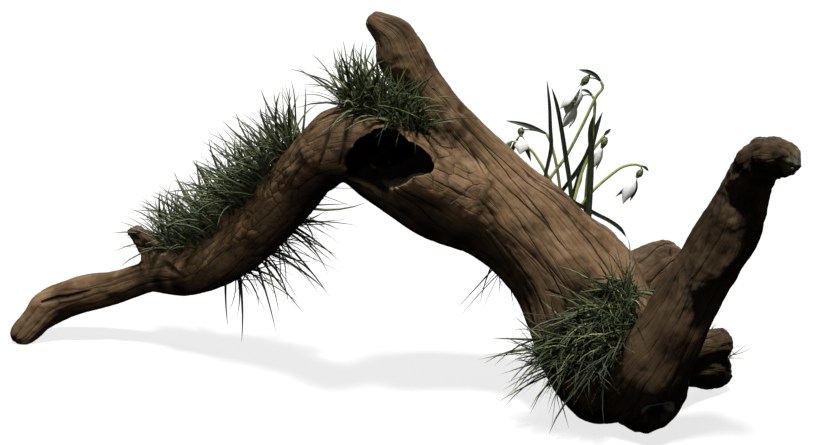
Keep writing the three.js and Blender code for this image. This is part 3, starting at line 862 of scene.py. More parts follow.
def spots_of(mesh, what="vertices", field="co"):
    items = getattr(mesh, what)
    spots = np.empty(len(items) * 3, np.float32)
    items.foreach_get(field, spots)
    return spots.reshape(-1, 3).astype(float)


def normals_of(mesh):
    normals = np.empty(len(mesh.vertices) * 3, np.float32)
    mesh.vertex_normals.foreach_get("vector", normals)
    return normals.reshape(-1, 3)


def quads_of(mesh):
    quads = np.empty(len(mesh.polygons) * 4, np.int32)
    mesh.polygons.foreach_get("vertices", quads)
    return quads.reshape(-1, 4)


def move_spots(mesh, spots):
    mesh.vertices.foreach_set("co", spots.astype(np.float32).ravel())
    mesh.update()


def add_attribute(mesh, name, values):
    kind = "FLOAT_VECTOR" if values.ndim == 2 else "FLOAT"
    field = "vector" if values.ndim == 2 else "value"
    layer = mesh.attributes.new(name, kind, "POINT")
    layer.data.foreach_set(field, values.astype(np.float32).ravel())


def nearest_on(rows, spots):
    """For every spot, the nearest row's number and the distance to it."""
    near, far = [], []
    for part in np.array_split(spots, max(1, len(spots) // 8000)):
        gaps = ((part[:, None] - rows[None, :, :3]) ** 2).sum(-1)
        best = gaps.argmin(1)
        near.append(best)
        far.append(np.sqrt(gaps[np.arange(len(part)), best]))
    return np.concatenate(near), np.concatenate(far)


def swept(stations, step=0.002):
    rows = placed(stations)
    length = np.linalg.norm(np.diff(rows[:, :3], axis=0), axis=1).sum()
    return smooth_rows(rows, max(6, int(length / step)))


def falloff(spots, marks):
    """The largest of the marks' amounts at every spot, each fading out over its reach."""
    most = np.zeros(len(spots))
    for mark in marks:
        far = np.linalg.norm(spots - (np.array(mark[:3]) - HEEL) * MM, axis=1) / (mark[3] * MM)
        most = np.maximum(most, mark[4] * np.clip(1.25 - far, 0, 1) ** 0.7)
    return most


# ---- Wood ----


def smooth_wood(cell, passes):
    """All limbs fused into one smooth body, with the hollow cut out."""
    shapes = []
    for name, stations in LIMBS.items():
        flutes = FLUTES.get(name, USUAL_FLUTES)
        rows = swept(stations, TUBE_STEP)
        shapes.append(tube(rows, blunt=BLUNT.get(name, STUB_BLUNT), flutes=flutes))
    shapes += [tube(swept(stations, TUBE_STEP)) for stations in FILLETS]
    wood = new_object("wood", *joined(shapes))
    shapes = [tube(swept(stations, TUBE_STEP), thick=thick)
              for stations, thick in zip(HOLLOWS, HOLLOW_THICKNESS)]
    hollow = new_object("hollow", *joined(shapes))
    for each in (wood, hollow):
        outward_faces(each)
    merge = hollow.modifiers.new("Merge", "REMESH")
    merge.mode, merge.voxel_size = "VOXEL", cell
    settled(hollow)
    fuse = wood.modifiers.new("Fuse", "REMESH")
    fuse.mode, fuse.voxel_size = "VOXEL", cell
    cut = wood.modifiers.new("Hollow", "BOOLEAN")
    cut.operation, cut.solver, cut.object = "DIFFERENCE", "EXACT", hollow
    even = wood.modifiers.new("Even", "REMESH")
    even.mode, even.voxel_size = "VOXEL", cell
    settled(wood)
    dropped(hollow)
    bulge(wood)
    soften = wood.modifiers.new("Soften", "SMOOTH")
    soften.factor, soften.iterations = 0.5, passes
    finer = wood.modifiers.new("Finer", "SUBSURF")
    finer.levels = finer.render_levels = 1
    return settled(wood)


def bulge(wood):
    """Raises the wood's swellings and ridges, and sinks its dents and valleys."""
    mesh = wood.data
    spots = spots_of(mesh)
    normals = normals_of(mesh)
    for mark in SWELLINGS:
        centre = (np.array(mark[:3]) - HEEL) * MM
        far = np.linalg.norm(spots - centre, axis=1) / (mark[3] * MM)
        spots += normals * (mark[4] * MM * np.exp(-1.5 * far**2))[:, None]
    for height, stations in RIDGES:
        rows = swept(stations)
        near, far = nearest_on(rows, spots)
        spots += normals * (height * MM * np.exp(-1.5 * (far / rows[near, 3]) ** 2))[:, None]
    move_spots(mesh, spots)


def grain_at(name, spots):
    """The grain at every spot: the run along the limb, and the place round it."""
    rows = swept(GRAINS[name])
    tangents, fronts, besides = frames_along(rows[:, :3], ARM_FRONT)
    steps = np.linalg.norm(np.diff(rows[:, :3], axis=0), axis=1)
    runs = np.concatenate([[0.0], np.cumsum(steps)])
    near, _ = nearest_on(rows, spots)
    away = spots - rows[near, :3]
    run = runs[near] + (away * tangents[near]).sum(1)
    ahead = (away * fronts[near]).sum(1)
    beside = (away * besides[near]).sum(1)
    scale = GIRTHS.get(name, STUB_GIRTH) * MM / np.maximum(np.hypot(ahead, beside), 1e-6)
    return np.stack([run, ahead * scale, beside * scale], 1)


def mark_wood(wood):
    """Stores the grain, its fades, its stains and its painted shade on the wood, and returns each
    spot's limb.
    """
    mesh = wood.data
    spots = spots_of(mesh)
    names = list(LIMBS)
    depths = []
    for name in names:
        rows = swept(LIMBS[name])
        near, far = nearest_on(rows, spots)
        depths.append(far - rows[near, 3])
    depths = np.stack(depths, 1)
    sunk = -depths.min(1)
    depths[:, names.index("trunk")] -= TRUNK_LEAD
    own = depths.argmin(1)
    is_trunk = np.array([GRAIN_OF[name] == "trunk" for name in names])
    trunk_depth = depths[:, is_trunk].min(1)
    others = np.where(is_trunk, np.inf, depths)
    other = others.argmin(1)
    fork = np.clip(0.5 + (trunk_depth - others.min(1)) / FORK_WIDTH, 0, 1)
    grain_b = np.zeros((len(spots), 3))
    for i, name in enumerate(names):
        mine = other == i
        if mine.any() and not is_trunk[i]:
            grain_b[mine] = grain_at(name, spots[mine])
    add_attribute(mesh, "grain_a", grain_at("trunk", spots))
    add_attribute(mesh, "grain_b", grain_b)
    add_attribute(mesh, "fork", fork * fork * (3 - 2 * fork))
    add_attribute(mesh, "rest", spots)
    add_attribute(mesh, "limb", own.astype(float))
    add_attribute(mesh, "scar", cracks_and_root_shadows_at(spots))
    add_attribute(mesh, "rim", rim_at(spots))
    add_attribute(mesh, "plated", falloff(spots, CRACKED))
    add_attribute(mesh, "knobbly", falloff(spots, KNOBBLY))
    add_attribute(mesh, "smoothness", smoothness_at(spots, own, names))
    add_attribute(mesh, "mossy", near_tufts(spots, margin=-0.002) * 0.3)
    add_attribute(mesh, "thatch", near_tufts(spots, margin=-0.009) * 0.7)
    add_attribute(mesh, "damp", shade_and_stains_at(mesh, spots, own, names, sunk))
    return own


def smoothness_at(spots, own, names):
    """How worn the bark is: most at the left end and up the right limb."""
    left = np.clip((-0.33 - spots[:, 0]) / 0.06, 0, 1)
    right = (own == names.index("right_limb")) * np.clip((spots[:, 2] - 0.02) / 0.08, 0, 1) * 0.7
    return np.maximum(left, right)


def cracks_and_root_shadows_at(spots):
    """1 in the middle of each crack and each painted root shadow, fading out at its edges."""
    flat = np.array([1.0, 0.25, 1.0])
    most = np.zeros(len(spots))
    for scar in CRACKS_AND_ROOT_SHADOWS:
        rows = swept(scar, 0.001)
        rows[:, :3] *= flat
        near, far = nearest_on(rows, spots * flat)
        most = np.maximum(most, np.clip(1.6 - far / rows[near, 3], 0, 1))
    return most


def rim_at(spots):
    """The pale rim over the rotted knot, on its upper edge only, a painted highlight on weathered
    wood, and the pale cut face of the right limb.
    """
    away = spots - (np.array(KNOT[:3]) - HEEL) * MM
    far = np.linalg.norm(away, axis=1) / (KNOT[3] * MM)
    above = np.clip(away[:, 2] / 0.004, 0, 1)
    rim = np.clip(1.3 - np.abs(far - 1) / 0.13, 0, 1) * above * 0.9
    return np.maximum(rim, falloff(spots, [CUT_FACE]) * 0.2)


def near_tufts(spots, margin):
    """1 on the tufts' beds, fading out from their rims moved out by the margin."""
    most = np.zeros(len(spots))
    for tuft in TUFTS.values():
        rows = swept(tuft["bed"])
        near, far = nearest_on(rows, spots)
        most = np.maximum(most, np.clip(1 - (far - rows[near, 3] - margin) / TUFT_FADE, 0, 1))
    return most


def shade_and_stains_at(mesh, spots, own, names, sunk):
    """Darker wood: painted shade on faces that look down and in the hollows, listed painted shadows
    and stains, wood near the floor and the whole right limb.
    """
    down = -normals_of(mesh)[:, 2]
    left = own == names.index("left_limb")
    # Painted shade on the faces that look down, strongest on the left limb.
    damp = np.where(left, np.clip(down - 0.34, 0, 1) * 2.2, np.clip(down - 0.1, 0, 1) * 1.6)
    # Darker towards the floor.
    damp += np.clip(1 - spots[:, 2] / 0.06, 0, 1) * 0.45 * ~left
    # Painted shade inside the hollows.
    for stations in HOLLOWS:
        rows = swept(stations)
        rows[:, 1] *= 0.5
        near, far = nearest_on(rows, spots * (1.0, 0.5, 1.0))
        inside = np.clip(3.2 - 2 * far / rows[near, 3], 0, 1)
        damp = np.maximum(damp, inside * np.clip((sunk - 0.003) / 0.003, 0, 1))
    # The whole right limb darker.
    right = own == names.index("right_limb")
    damp = np.maximum(damp, right * np.clip(spots[:, 2] / 0.03, 0, 1) * 0.66)
    # Painted shadows and a few real stains from the list, none on the cut face.
    damp = np.maximum(damp, falloff(spots, SHADOWS_AND_STAINS)) * (1 - falloff(spots, [CUT_FACE]))
    return np.clip(damp, 0, 1)


def label_smoothly(mesh, own, rounds=14):
    """Each face's limb, evened out so that the joints between limbs run smoothly."""
    edges = np.empty(len(mesh.edges) * 2, np.int32)
    mesh.edges.foreach_get("vertices", edges)
    starts, ends = edges.reshape(-1, 2).T
    share = np.eye(len(LIMBS))[own]
    for _ in range(rounds):
        for i in range(len(LIMBS)):
            mine = share[:, i]
            share[:, i] = mine + np.bincount(starts, mine[ends], len(own))
            share[:, i] += np.bincount(ends, mine[starts], len(own))
        share /= share.sum(1, keepdims=True)
    return share.argmax(1)[quads_of(mesh)].min(1)


def limb_piece(wood, faces, normals):
    """One limb's share of the wood, closed by caps that lie a little under the bark."""
    piece = wood.copy()
    piece.data = wood.data.copy()
    bpy.context.scene.collection.objects.link(piece)
    shell = bmesh.new()
    shell.from_mesh(piece.data)
    order = shell.verts.layers.int.new("order")
    for i, vert in enumerate(shell.verts):
        vert[order] = i
    shell.faces.ensure_lookup_table()
    gone = [shell.faces[i] for i in np.flatnonzero(~faces)]
    bmesh.ops.delete(shell, geom=gone, context="FACES")
    rims = [edge for edge in shell.edges if edge.is_boundary]
    sunk = bmesh.ops.extrude_edge_only(shell, edges=rims)["geom"]
    for vert in (item for item in sunk if isinstance(item, bmesh.types.BMVert)):
        vert.co -= Vector(normals[vert[order]]) * SINK
    rims = [edge for edge in shell.edges if edge.is_boundary]
    bmesh.ops.holes_fill(shell, edges=rims, sides=0)
    bmesh.ops.triangulate(shell, faces=[f for f in shell.faces if len(f.verts) > 4])
    numbers = [vert[order] for vert in shell.verts]
    shell.verts.layers.int.remove(shell.verts.layers.int["order"])
    shell.to_mesh(piece.data)
    shell.free()
    piece.data.polygons.foreach_set("use_smooth", [True] * len(piece.data.polygons))
    piece.data.normals_split_custom_set_from_vertices([tuple(n) for n in normals[numbers]])
    return piece


# ---- Grass ----

# Shapes of blade: how far the tip hangs over, its height and its half width, for a length of 1.
BLADES = [(0.18, 1.0, 0.036), (0.38, 0.93, 0.034), (0.62, 0.78, 0.03), (0.08, 1.0, 0.024)]


def blade_variant(board, lean, height, radius):
    """One upright blade a unit long, bent over by `lean`, that narrows to its tip."""
    sockets = {"Resolution": 5, "Start": (0, 0, -0.06), "Middle": (lean * 0.2, 0, height * 0.6),
               "End": (lean, 0, height)}
    curve = board.node("GeometryNodeCurveQuadraticBezier", {}, sockets)
    along = board.node("GeometryNodeSplineParameter")
    curve = board.store(curve, "POINT", "along", along)
    taper = board.math("POWER", 1.0 - along, 0.7) * 0.95 + 0.05
    ring = board.node("GeometryNodeCurvePrimitiveCircle", {"mode": "RADIUS"},
                      {"Resolution": 3, "Radius": radius})
    sockets = {"Geometry": ring, "Scale": (0.35, 1.0, 1.0)}
    flat = board.node("GeometryNodeTransform", {}, sockets)
    sockets = {"Curve": curve, "Profile Curve": flat, "Scale": taper, "Fill Caps": True}
    mesh = board.node("GeometryNodeCurveToMesh", {}, sockets)
    return board.node("GeometryNodeGeometryToInstance", {}, {"Geometry": mesh})


def tuft_tree():
    """Scatters bent blades over the surface that it is given."""
    kinds = {"Wood": "Geometry", "Density": "Float", "Length": "Float", "Lean": "Vector",
             "Spread": "Float", "Droop": "Float", "Seed": "Int", "Finish": "Material"}
    board, given, sockets = new_tree("Grass tuft", kinds, "Grass")
    density = given["Density"] * board.attribute("thick")
    sockets_in = {"Mesh": given["Wood"], "Density": density, "Seed": given["Seed"]}
    points = board.node("GeometryNodeDistributePointsOnFaces",
                        {"distribute_method": "RANDOM"}, sockets_in)
    jitter = board.node("FunctionNodeRandomValue", {"data_type": "FLOAT_VECTOR"},
                        {"Min": (-1, -1, -1), "Max": (1, 1, 1), "Seed": 3})
    place = board.node("GeometryNodeInputPosition")
    clump = board.vector("SUBTRACT", board.noise(place, 55.0, 1.0).of("Color"), 0.5)
    aim = points.of("Normal") * 0.5 + given["Lean"] + clump * 1.8
    aim = aim + board.vector("SCALE", jitter, given["Spread"])
    turned = board.node("FunctionNodeAlignRotationToVector", {"axis": "Z"}, {"Vector": aim})
    spin = board.random_float(0.0, 6.283, 5)
    spun = board.node("FunctionNodeAxisAngleToRotation", {}, {"Axis": (0, 0, 1), "Angle": spin})
    turned = board.node("FunctionNodeRotateRotation", {"rotation_space": "LOCAL"},
                        {"Rotation": turned, "Rotate By": spun})
    blades = [blade_variant(board, *shape) for shape in BLADES]
    choice = board.node("GeometryNodeJoinGeometry", {}, {"Geometry": blades[::-1]})
    share = board.random_float(0.0, 1.0, 11)
    size = given["Length"] * (0.3 + 0.7 * share ** 1.7)
    sockets_in = {"Points": points, "Instance": choice, "Pick Instance": True,
                  "Instance Index": board.random_whole(0, len(BLADES) - 1, 7), "Rotation": turned,
                  "Scale": board.join(size, size, size)}
    tuft = board.node("GeometryNodeInstanceOnPoints", {}, sockets_in)
    tuft = board.store(tuft, "INSTANCE", "tint", board.random_float(0, 1, 17))
    tuft = board.store(tuft, "INSTANCE", "short", 1.0 - share)
    tuft = board.node("GeometryNodeRealizeInstances", {}, {"Geometry": tuft})
    along = board.attribute("along")
    sag = board.join(0.0, 0.0, along * along * given["Droop"] * -1.0)
    tuft = board.node("GeometryNodeSetPosition", {}, {"Geometry": tuft, "Offset": sag})
    sockets_in = {"Geometry": tuft, "Material": given["Finish"]}
    board.end("Grass", board.node("GeometryNodeSetMaterial", {}, sockets_in))
    return board.tree, sockets


def tuft_bed(name, tuft, points, faces, ways, barred):
    """The faces of the wood that a tuft grows on, with how thick it grows there."""
    rows = swept(tuft["bed"])
    centres = points[faces].mean(1)
    near, far = nearest_on(rows, centres)
    inside = (far < rows[near, 3]) & (ways @ unit(np.array(tuft["side"])) > tuft["keep"])
    inside &= ~barred
    if not inside.any():
        raise ValueError(name + " touches no wood")
    chosen = faces[inside]
    used, numbers = np.unique(chosen, return_inverse=True)
    numbers = numbers.reshape(chosen.shape)
    bed = new_object(name, points[used], [tuple(f) for f in numbers])
    near, far = nearest_on(rows, points[used])
    thick = np.clip(1.2 - far / rows[near, 3], 0.1, 1.0)
    add_attribute(bed.data, "thick", thick)
    corners = points[chosen]
    sides = np.cross(corners[:, 2] - corners[:, 0], corners[:, 3] - corners[:, 1])
    areas = np.linalg.norm(sides, axis=1) / 2
    return bed, float((areas * thick[numbers].mean(1)).sum())


def grass_material(colours):
    material, board, shader = new_material("Grass blades", colours.grass)
    along = board.attribute("along")
    tint = board.attribute("tint")
    short = board.attribute("short")
    base = board.mix(board.ease(tint, 0.2, 0.9), colours.grass_dark, colours.grass)
    base = board.mix(board.ease(tint, 0.93, 0.97) * 0.8, base, colours.grass_dry)
    base = board.mix(board.ease(along, 0.45, 1.0) * 0.4, base, colours.grass_tip)
    dead = board.ease(short, 0.72, 0.86) * board.ease(tint, 0.35, 0.45)
    base = board.mix(dead, base, colours.thatch)
    # Painted shade: the blades darken towards their roots, deep in the tuft.
    base = board.mix(board.ease(along, 0.45, 0.0) * 0.8, base, colours.grass_dark)
    feed(board, shader, Base_Color=base, Roughness=0.5, Specular_IOR_Level=0.4)
    return material


# ---- Leaves and flowers ----


def strap(rows, facing, cup, columns=5, rounded=0.16):
    """A thin sheet along rows of x, y, z and half width; `cup` curls its edges back."""
    _, fronts, besides = frames_along(rows[:, :3], facing)
    share = np.linspace(0, 1, len(rows))
    tip = np.sqrt(np.clip(1 - np.clip((share - 1 + rounded) / rounded, 0, 1) ** 2, 0.02, 1))
    across = np.linspace(-1, 1, columns)
    widths = (rows[:, 3] * tip)[:, None] * across
    backs = -cup * rows[:, 3][:, None] * across**2 * tip[:, None]
    points = rows[:, None, :3] + besides[:, None] * widths[..., None]
    points = points + fronts[:, None] * backs[..., None]
    faces = []
    for row in range(len(rows) - 1):
        for column in range(columns - 1):
            low = row * columns + column
            faces.append((low, low + 1, low + columns + 1, low + columns))
    return points.reshape(-1, 3), faces


def store_run(piece, rows):
    """Stores how far along its rows, 0 to 1, and how far to the side every spot lies."""
    spots = spots_of(piece.data)
    near, far = nearest_on(rows, spots)
    add_attribute(piece.data, "along", near / (len(rows) - 1))
    add_attribute(piece.data, "aside", far / np.maximum(rows[near, 3], 1e-6))


def sheet_piece(node, stations, facing, cup, thickness, material, count, rounded=0.16):
    """A thin, closed sheet of a leaf, spathe or petal; its thickness is in millimetres."""
    rows = smooth_rows(placed(stations), count)
    piece = new_object(node + "_sheet", *strap(rows, facing, cup, rounded=rounded))
    wall = piece.modifiers.new("Wall", "SOLIDIFY")
    wall.thickness, wall.offset = thickness * MM, 0.0
    finer = piece.modifiers.new("Finer", "SUBSURF")
    finer.levels = finer.render_levels = 1
    settled(piece)
    outward_faces(piece)
    store_run(piece, rows)
    return kept_piece(piece, node, material)


def round_piece(node, rows, material, sides=16, blunt=0.8, stalk=None):
    """A closed, round part of a flower, with a thinner stalk at its root if one is given."""
    shapes = [tube(rows, PLANT_FRONT, sides, blunt)]
    if stalk is not None:
        shapes.append(tube(stalk, PLANT_FRONT, 8, blunt))
    piece = new_object(node + "_round", *joined(shapes))
    outward_faces(piece)
    store_run(piece, rows)
    return kept_piece(piece, node, material)


def leaf_material(colours):
    material, board, shader = new_material("Snowdrop leaf", colours.leaf)
    aside = board.attribute("aside")
    along = board.attribute("along")
    veins = board.lines(1400.0, 120.0)
    base = board.mix(board.ease(veins, 0.42, 0.62), colours.leaf, colours.leaf_dark)
    base = board.mix(board.ease(aside, 0.35, 0.0) * 0.5, base, colours.leaf_pale)
    base = board.mix(board.ease(along, 0.93, 1.0) * 0.7, base, colours.stem)
    feed(board, shader, Base_Color=base, Roughness=0.42,
         Normal=bumped(board, veins, 0.0002, 0.5))
    return material


def stem_material(colours):
    material, board, shader = new_material("Snowdrop stem", colours.stem)
    lines = board.lines(1800.0, 90.0)
    along = board.attribute("along")
    base = board.mix(board.ease(lines, 0.35, 0.65), colours.stem, colours.stem_dark)
    base = board.mix(board.ease(along, 0.25, 0.0) * 0.6, base, colours.leaf)
    feed(board, shader, Base_Color=base, Roughness=0.45,
         Normal=bumped(board, lines, 0.0002, 0.4))
    return material


def ovary_material(colours):
    material, board, shader = new_material("Snowdrop seed case", colours.ovary)
    mottle = board.noise(board.spot(), 900.0, 2.0)
    base = board.mix(board.ease(mottle, 0.35, 0.65), colours.ovary, colours.leaf)
    base = board.mix(board.ease(board.attribute("along"), 0.75, 1.0) * 0.5, base, colours.stem)
    feed(board, shader, Base_Color=base, Roughness=0.4, Normal=bumped(board, mottle, 0.0002, 0.3))
    return material


def petal_material(colours):
    material, board, shader = new_material("Snowdrop petal", colours.petal)
    along = board.attribute("along")
    veins = board.lines(1300.0, 100.0, 1.0)
    base = board.mix(board.ease(veins, 0.5, 0.72) * 0.35, colours.petal, colours.petal_shade)
    base = board.mix(board.ease(along, 0.12, 0.0) * 0.6, base, colours.stem)
    feed(board, shader, Base_Color=base, Roughness=0.5, Subsurface_Weight=0.15,
         Subsurface_Radius=(0.002, 0.002, 0.0015), Normal=bumped(board, veins, 0.00025, 0.5))
    return material


# Painted shade: a dark copy of the petal colour for petals that lie in shadow, pale grey near the
# root where their top is lit.
def shaded_petal_material(colours):
    material, board, shader = new_material("Snowdrop petal, dark", colours.petal_dark)
    along = board.attribute("along")
    veins = board.noise(board.spot(), 500.0, 1.0)
    base = board.mix(board.ease(veins, 0.4, 0.7) * 0.5, colours.petal_dark, colours.leaf_pale)
    base = board.mix(board.ease(along, 0.2, 0.05) * 0.7, base, colours.petal_shade)
    feed(board, shader, Base_Color=base, Roughness=0.55)
    return material


def cup_material(colours):
    material, board, shader = new_material("Snowdrop cup", colours.petal)
    along = board.attribute("along")
    patches = board.noise(board.spot(), 700.0, 1.0)
    band = board.ease(along + (patches - 0.5) * 0.3, 0.55, 0.7) * board.ease(along, 0.98, 0.9)
    base = board.mix(band, colours.petal, colours.cup_mark)
    feed(board, shader, Base_Color=base, Roughness=0.5)
    return material


# ---- Sizes and colours a user would change ----


def colour(name, about, value):
    return FloatVectorProperty(name=name, description=about, default=value, size=3,
                               subtype="COLOR", min=0.0, max=1.0)


class BranchSizes(bpy.types.PropertyGroup):
    cell: FloatProperty(name="Cell", description="Size of the wood's cells before they are halved",
                        default=0.0021, unit="LENGTH", min=0.001)
    passes: IntProperty(name="Smoothing", description="Rounds of smoothing at the forks",
                        default=9, min=0)
    groove_depth: FloatProperty(name="Groove depth", description="Depth of the bark's grooves",
                                default=0.0012, unit="LENGTH", min=0.0)
    lump_height: FloatProperty(name="Lump height", description="Height of the wood's lumps",
                               default=0.0055, unit="LENGTH", min=0.0)
    stem_radius: FloatProperty(name="Stem radius", description="Radius of a flower's stem",
                               default=0.0013, unit="LENGTH", min=0.0003)
    grass_amount: FloatProperty(name="Grass amount", description="Share of the usual blades",
                                default=1.0, subtype="FACTOR", min=0.05, soft_max=2.0)
    seed: IntProperty(name="Seed", description="Seed of the blades' places", default=4, min=0)


class BranchColours(bpy.types.PropertyGroup):
    wood: colour("Wood", "Bark in the middle of its range", (0.215, 0.128, 0.062))
    wood_dark: colour("Dark wood", "Stained bark", (0.100, 0.057, 0.025))
    wood_pale: colour("Pale wood", "Rubbed, raised bark", (0.31, 0.205, 0.115))
    # Pale on the knot's upper edge only: weathered wood with a painted highlight; also the cut
    # face's pale tint.
    rim: colour("Knot rim", "Weathered rim of the rotted knot", (0.34, 0.37, 0.30))
    # Near black: the bark's dark cracks, and painted shade in the grooves, the knobs' dips, the
    # hollows and the painted shadows.
    wood_shade_and_grooves: colour("Grooves", "Bottom of the bark's grooves", (0.006, 0.004, 0.002))
    moss: colour("Moss", "Green film round the tufts", (0.045, 0.05, 0.02))
    thatch: colour("Thatch", "Dead grass at the roots", (0.10, 0.05, 0.025))
    grass: colour("Grass", "Fresh blades", (0.115, 0.14, 0.058))
    grass_dark: colour("Dark grass", "Shaded blades", (0.030, 0.040, 0.020))
    grass_tip: colour("Grass tips", "Greyish tips", (0.155, 0.187, 0.09))
    grass_dry: colour("Dry grass", "Yellow blades", (0.35, 0.33, 0.12))
    leaf: colour("Leaf", "Snowdrop leaves", (0.028, 0.042, 0.018))
    leaf_dark: colour("Dark leaf", "Lines along a leaf", (0.010, 0.018, 0.007))
    leaf_pale: colour("Pale leaf", "Middle rib of a leaf", (0.07, 0.10, 0.04))
    stem: colour("Stem", "Flower stems", (0.50, 0.53, 0.20))
    stem_dark: colour("Dark stem", "Lines along a stem", (0.27, 0.33, 0.11))
    ovary: colour("Seed case", "Seed cases of the flowers", (0.15, 0.22, 0.07))
    petal: colour("Petal", "Outer petals", (0.86, 0.87, 0.84))
    petal_shade: colour("Petal shade", "Fine lines on a petal", (0.66, 0.70, 0.66))
    # Painted shade: the petal colour darkened for the petals that lie in shadow.
    petal_dark: colour("Dark petal", "Inner sides of the far petals", (0.055, 0.06, 0.045))
    cup_mark: colour("Cup mark", "Green mark on the inner cup", (0.12, 0.30, 0.06))
    floor: colour("Floor", "The plain floor", (0.2, 0.2, 0.2))


def aimed(name, data, spot, aim):
    """Puts a light or a camera at a spot and turns it towards another."""
    holder = bpy.data.objects.new(name, data)
    holder.location = spot
    holder.rotation_euler = (aim - spot).to_track_quat("-Z", "Y").to_euler()
    bpy.context.scene.collection.objects.link(holder)
    return holder


# ---- Operators ----


class BRANCH_OT_wood(bpy.types.Operator):
    """Grow the wood of every limb and stub, with its bark"""

    bl_idname = "branch.wood"
    bl_label = "Grow Wood"

    def execute(self, context):
        sizes = context.scene.branch_sizes
        wood = smooth_wood(sizes.cell, sizes.passes)
        own = mark_wood(wood)
        tree, sockets = relief_tree()
        relief = wood.modifiers.new("Relief", "NODES")
        relief.node_group = tree
        relief[sockets["Groove depth"]] = sizes.groove_depth
        relief[sockets["Lump height"]] = sizes.lump_height
        settled(wood)
        mesh = wood.data
        spots = spots_of(mesh)
        spots[:, 2] = np.maximum(spots[:, 2], 0.0)
        move_spots(mesh, spots)
        normals = normals_of(mesh)
        labels = label_smoothly(mesh, own)
        finish = wood_material(context.scene.branch_colours)
        for i, name in enumerate(LIMBS):
            piece = limb_piece(wood, labels == i, normals)
            kept_piece(piece, name, finish)
        wood.hide_render = True
        wood.name = "whole_wood"
        return {"FINISHED"}


class BRANCH_OT_grass(bpy.types.Operator):
    """Grow every grass tuft on the wood"""

    bl_idname = "branch.grass"
    bl_label = "Grow Grass"

    def execute(self, context):
        sizes = context.scene.branch_sizes
        wood = bpy.data.objects["whole_wood"]
        points, faces = spots_of(wood.data), quads_of(wood.data)
        ways = spots_of(wood.data, "polygons", "normal")
        limbs = np.empty(len(points), np.float32)
        wood.data.attributes["limb"].data.foreach_get("value", limbs)
        upper = limbs[faces].max(1) == list(LIMBS).index("upper_limb")
        finish = grass_material(context.scene.branch_colours)
        tree, sockets = tuft_tree()
        for number, (name, tuft) in enumerate(TUFTS.items()):
            barred = upper & (name == "grass_arch_top")
            bed, area = tuft_bed(name + "_bed", tuft, points, faces, ways, barred)
            grow = bed.modifiers.new("Tuft", "NODES")
            grow.node_group = tree
            values = {
                "Density": tuft["count"] * sizes.grass_amount / area,
                "Length": tuft["length"] * MM, "Lean": tuft["lean"], "Spread": tuft["spread"],
                "Droop": tuft["droop"] * MM, "Seed": sizes.seed + number, "Finish": finish,
            }
            for key, value in values.items():
                grow[sockets[key]] = value
            settled(bed)
            kept_piece(bed, name, finish)
        dropped(wood)
        return {"FINISHED"}


class BRANCH_OT_leaves(bpy.types.Operator):
    """Grow the strap leaves behind the trunk"""

    bl_idname = "branch.leaves"
    bl_label = "Grow Leaves"

    def execute(self, context):
        finish = leaf_material(context.scene.branch_colours)
        for name, stations in LEAVES.items():
            stations = [[*spot, half * LEAF_FULLNESS] for *spot, half in stations]
            sheet_piece(name, stations, PLANT_FRONT, -0.35, 0.6, finish, count=26)
        return {"FINISHED"}


class BRANCH_OT_snowdrops(bpy.types.Operator):
    """Grow the snowdrops: stems, spathes, seed cases, petals and cups"""

    bl_idname = "branch.snowdrops"
    bl_label = "Grow Snowdrops"

    def execute(self, context):
        colours = context.scene.branch_colours
        leaf, stem = bpy.data.materials["Snowdrop leaf"], stem_material(colours)
        petal, cup, ovary = petal_material(colours), cup_material(colours), ovary_material(colours)
        shaded = shaded_petal_material(colours)
        radius = context.scene.branch_sizes.stem_radius / MM
        for letter, flower in SNOWDROPS.items():
            node = "snowdrop_" + letter + "_"
            count = len(flower["stem"])
            stations = [[*spot, radius * (1 - 0.2 * i / count)]
                        for i, spot in enumerate(flower["stem"])]
            rows = smooth_rows(placed(stations), 30)
            round_piece(node + "stem", rows, stem, sides=10)
            if "spathe" in flower:
                stations = [[*flower["stem"][-1], 0.9], *flower["spathe"]]
                sheet_piece(node + "spathe", stations, (0, -1, 0.6), -0.6, 0.6, leaf,
                            count=18)
            rows = smooth_rows(placed(flower["ovary"]), 14)
            rows[:, 3] *= OVARY_FULLNESS
            ends = np.array([flower["stem"][-1], flower["ovary"][1][:3]], float)
            top = ends.mean(0) + (0, 0, 1.2)
            stalk = smooth_rows(placed([[*spot, 0.5] for spot in (ends[0], top, ends[1])]), 8)
            round_piece(node + "ovary", rows, ovary, stalk=stalk)
            middle = np.mean([p[2][:3] for p in flower["petals"]], axis=0)
            for i, stations in enumerate(flower["petals"]):
                outward = np.array(stations[2][:3]) - middle
                stations = [[*spot, half * PETAL_FULLNESS] for *spot, half in stations]
                stations = [[*flower["ovary"][-1][:3], 1.1], *stations]
                finish = shaded if i + 1 in flower["shaded"] else petal
                sheet_piece(f"{node}petal_{i + 1}", stations, outward, 0.55, 0.35,
                            finish, count=18, rounded=0.3)
            if "cup" in flower:
                rows = smooth_rows(placed(flower["cup"]), 12)
                round_piece(node + "cup", rows, cup, blunt=0.4)
        return {"FINISHED"}


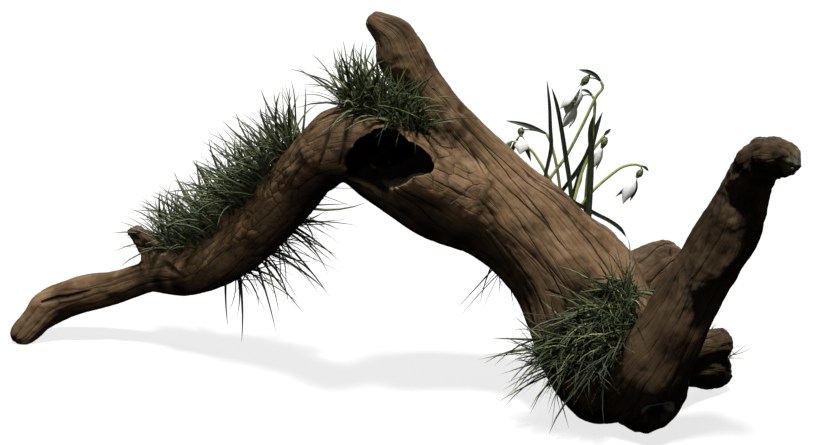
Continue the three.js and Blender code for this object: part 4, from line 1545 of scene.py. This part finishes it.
class BRANCH_OT_stage(bpy.types.Operator):
    """Set the floor, the lights and the camera"""

    bl_idname = "branch.stage"
    bl_label = "Set the Stage"

    def execute(self, context):
        scene = context.scene
        corners = [(-1, -1, 0), (1, -1, 0), (1, 1, 0), (-1, 1, 0)]
        floor = new_object("floor", np.array(corners) * FLOOR_REACH, [(0, 1, 2, 3)])
        material, board, shader = new_material("Floor", scene.branch_colours.floor)
        feed(board, shader, Base_Color=scene.branch_colours.floor, Roughness=0.9,
             Specular_IOR_Level=0.0, Emission_Color=(1.0, 1.0, 1.0), Emission_Strength=FLOOR_GLOW)
        floor.data.materials.append(material)
        floor.location.z = -FLOOR_DROP
        floor.visible_diffuse = False
        floor.visible_glossy = False
        world = bpy.data.worlds.new("Soft light")
        scene.world = world
        world.use_nodes = True
        board = Board(world.node_tree)
        lit = next(n for n in world.node_tree.nodes if n.type == "BACKGROUND")
        lit.inputs["Color"].default_value = (1.0, 1.0, 1.0, 1.0)
        seen = board.node("ShaderNodeLightPath", {}, {}, "Is Camera Ray")
        light = SKY_SHARE + seen * (1 - SKY_SHARE)
        board.tree.links.new(light.socket, lit.inputs["Strength"])
        for name, (spot, width, power) in SUNS.items():
            lamp = bpy.data.lights.new(name, "SUN")
            lamp.angle, lamp.energy = math.radians(width), power
            aimed(name, lamp, Vector(spot), Vector((0.0, 0.0, 0.0)))
        beam = bpy.data.lights.new("beam", "SPOT")
        beam.energy, beam.spot_size, beam.spot_blend = BEAM_POWER, math.radians(BEAM_WIDTH), 1.0
        beam.shadow_soft_size = 0.2
        aimed("beam", beam, BEAM_AT, BEAM_AIM)
        lens = bpy.data.cameras.new("camera")
        lens.lens, lens.sensor_width = CAMERA_LENS, 36.0
        rise = math.radians(CAMERA_RISE)
        away = Vector((0.0, -math.cos(rise), math.sin(rise))) * CAMERA_AWAY
        scene.camera = aimed("camera", lens, CAMERA_AIM + away, CAMERA_AIM)
        scene.view_settings.view_transform = "Standard"
        return {"FINISHED"}


class BRANCH_PT_panel(bpy.types.Panel):
    """Lists the branch's sizes and colours, and what grows it"""

    bl_idname = "BRANCH_PT_panel"
    bl_label = "Fallen Branch"
    bl_space_type = "VIEW_3D"
    bl_region_type = "UI"
    bl_category = "Branch"

    def draw(self, context):
        for group in (context.scene.branch_sizes, context.scene.branch_colours):
            column = self.layout.column(align=True)
            for key in type(group).__annotations__:
                column.prop(group, key)
        for operator in OPERATORS:
            self.layout.operator(operator.bl_idname)


OPERATORS = (
    BRANCH_OT_wood,
    BRANCH_OT_grass,
    BRANCH_OT_leaves,
    BRANCH_OT_snowdrops,
    BRANCH_OT_stage,
)
CLASSES = (BranchSizes, BranchColours, *OPERATORS, BRANCH_PT_panel)


def register():
    for each in CLASSES:
        bpy.utils.register_class(each)
    bpy.types.Scene.branch_sizes = PointerProperty(type=BranchSizes)
    bpy.types.Scene.branch_colours = PointerProperty(type=BranchColours)


def unregister():
    del bpy.types.Scene.branch_sizes
    del bpy.types.Scene.branch_colours
    for each in reversed(CLASSES):
        bpy.utils.unregister_class(each)


def main():
    register()
    bpy.ops.branch.wood()
    bpy.ops.branch.grass()
    bpy.ops.branch.leaves()
    bpy.ops.branch.snowdrops()
    bpy.ops.branch.stage()


if __name__ == "__main__":
    main()
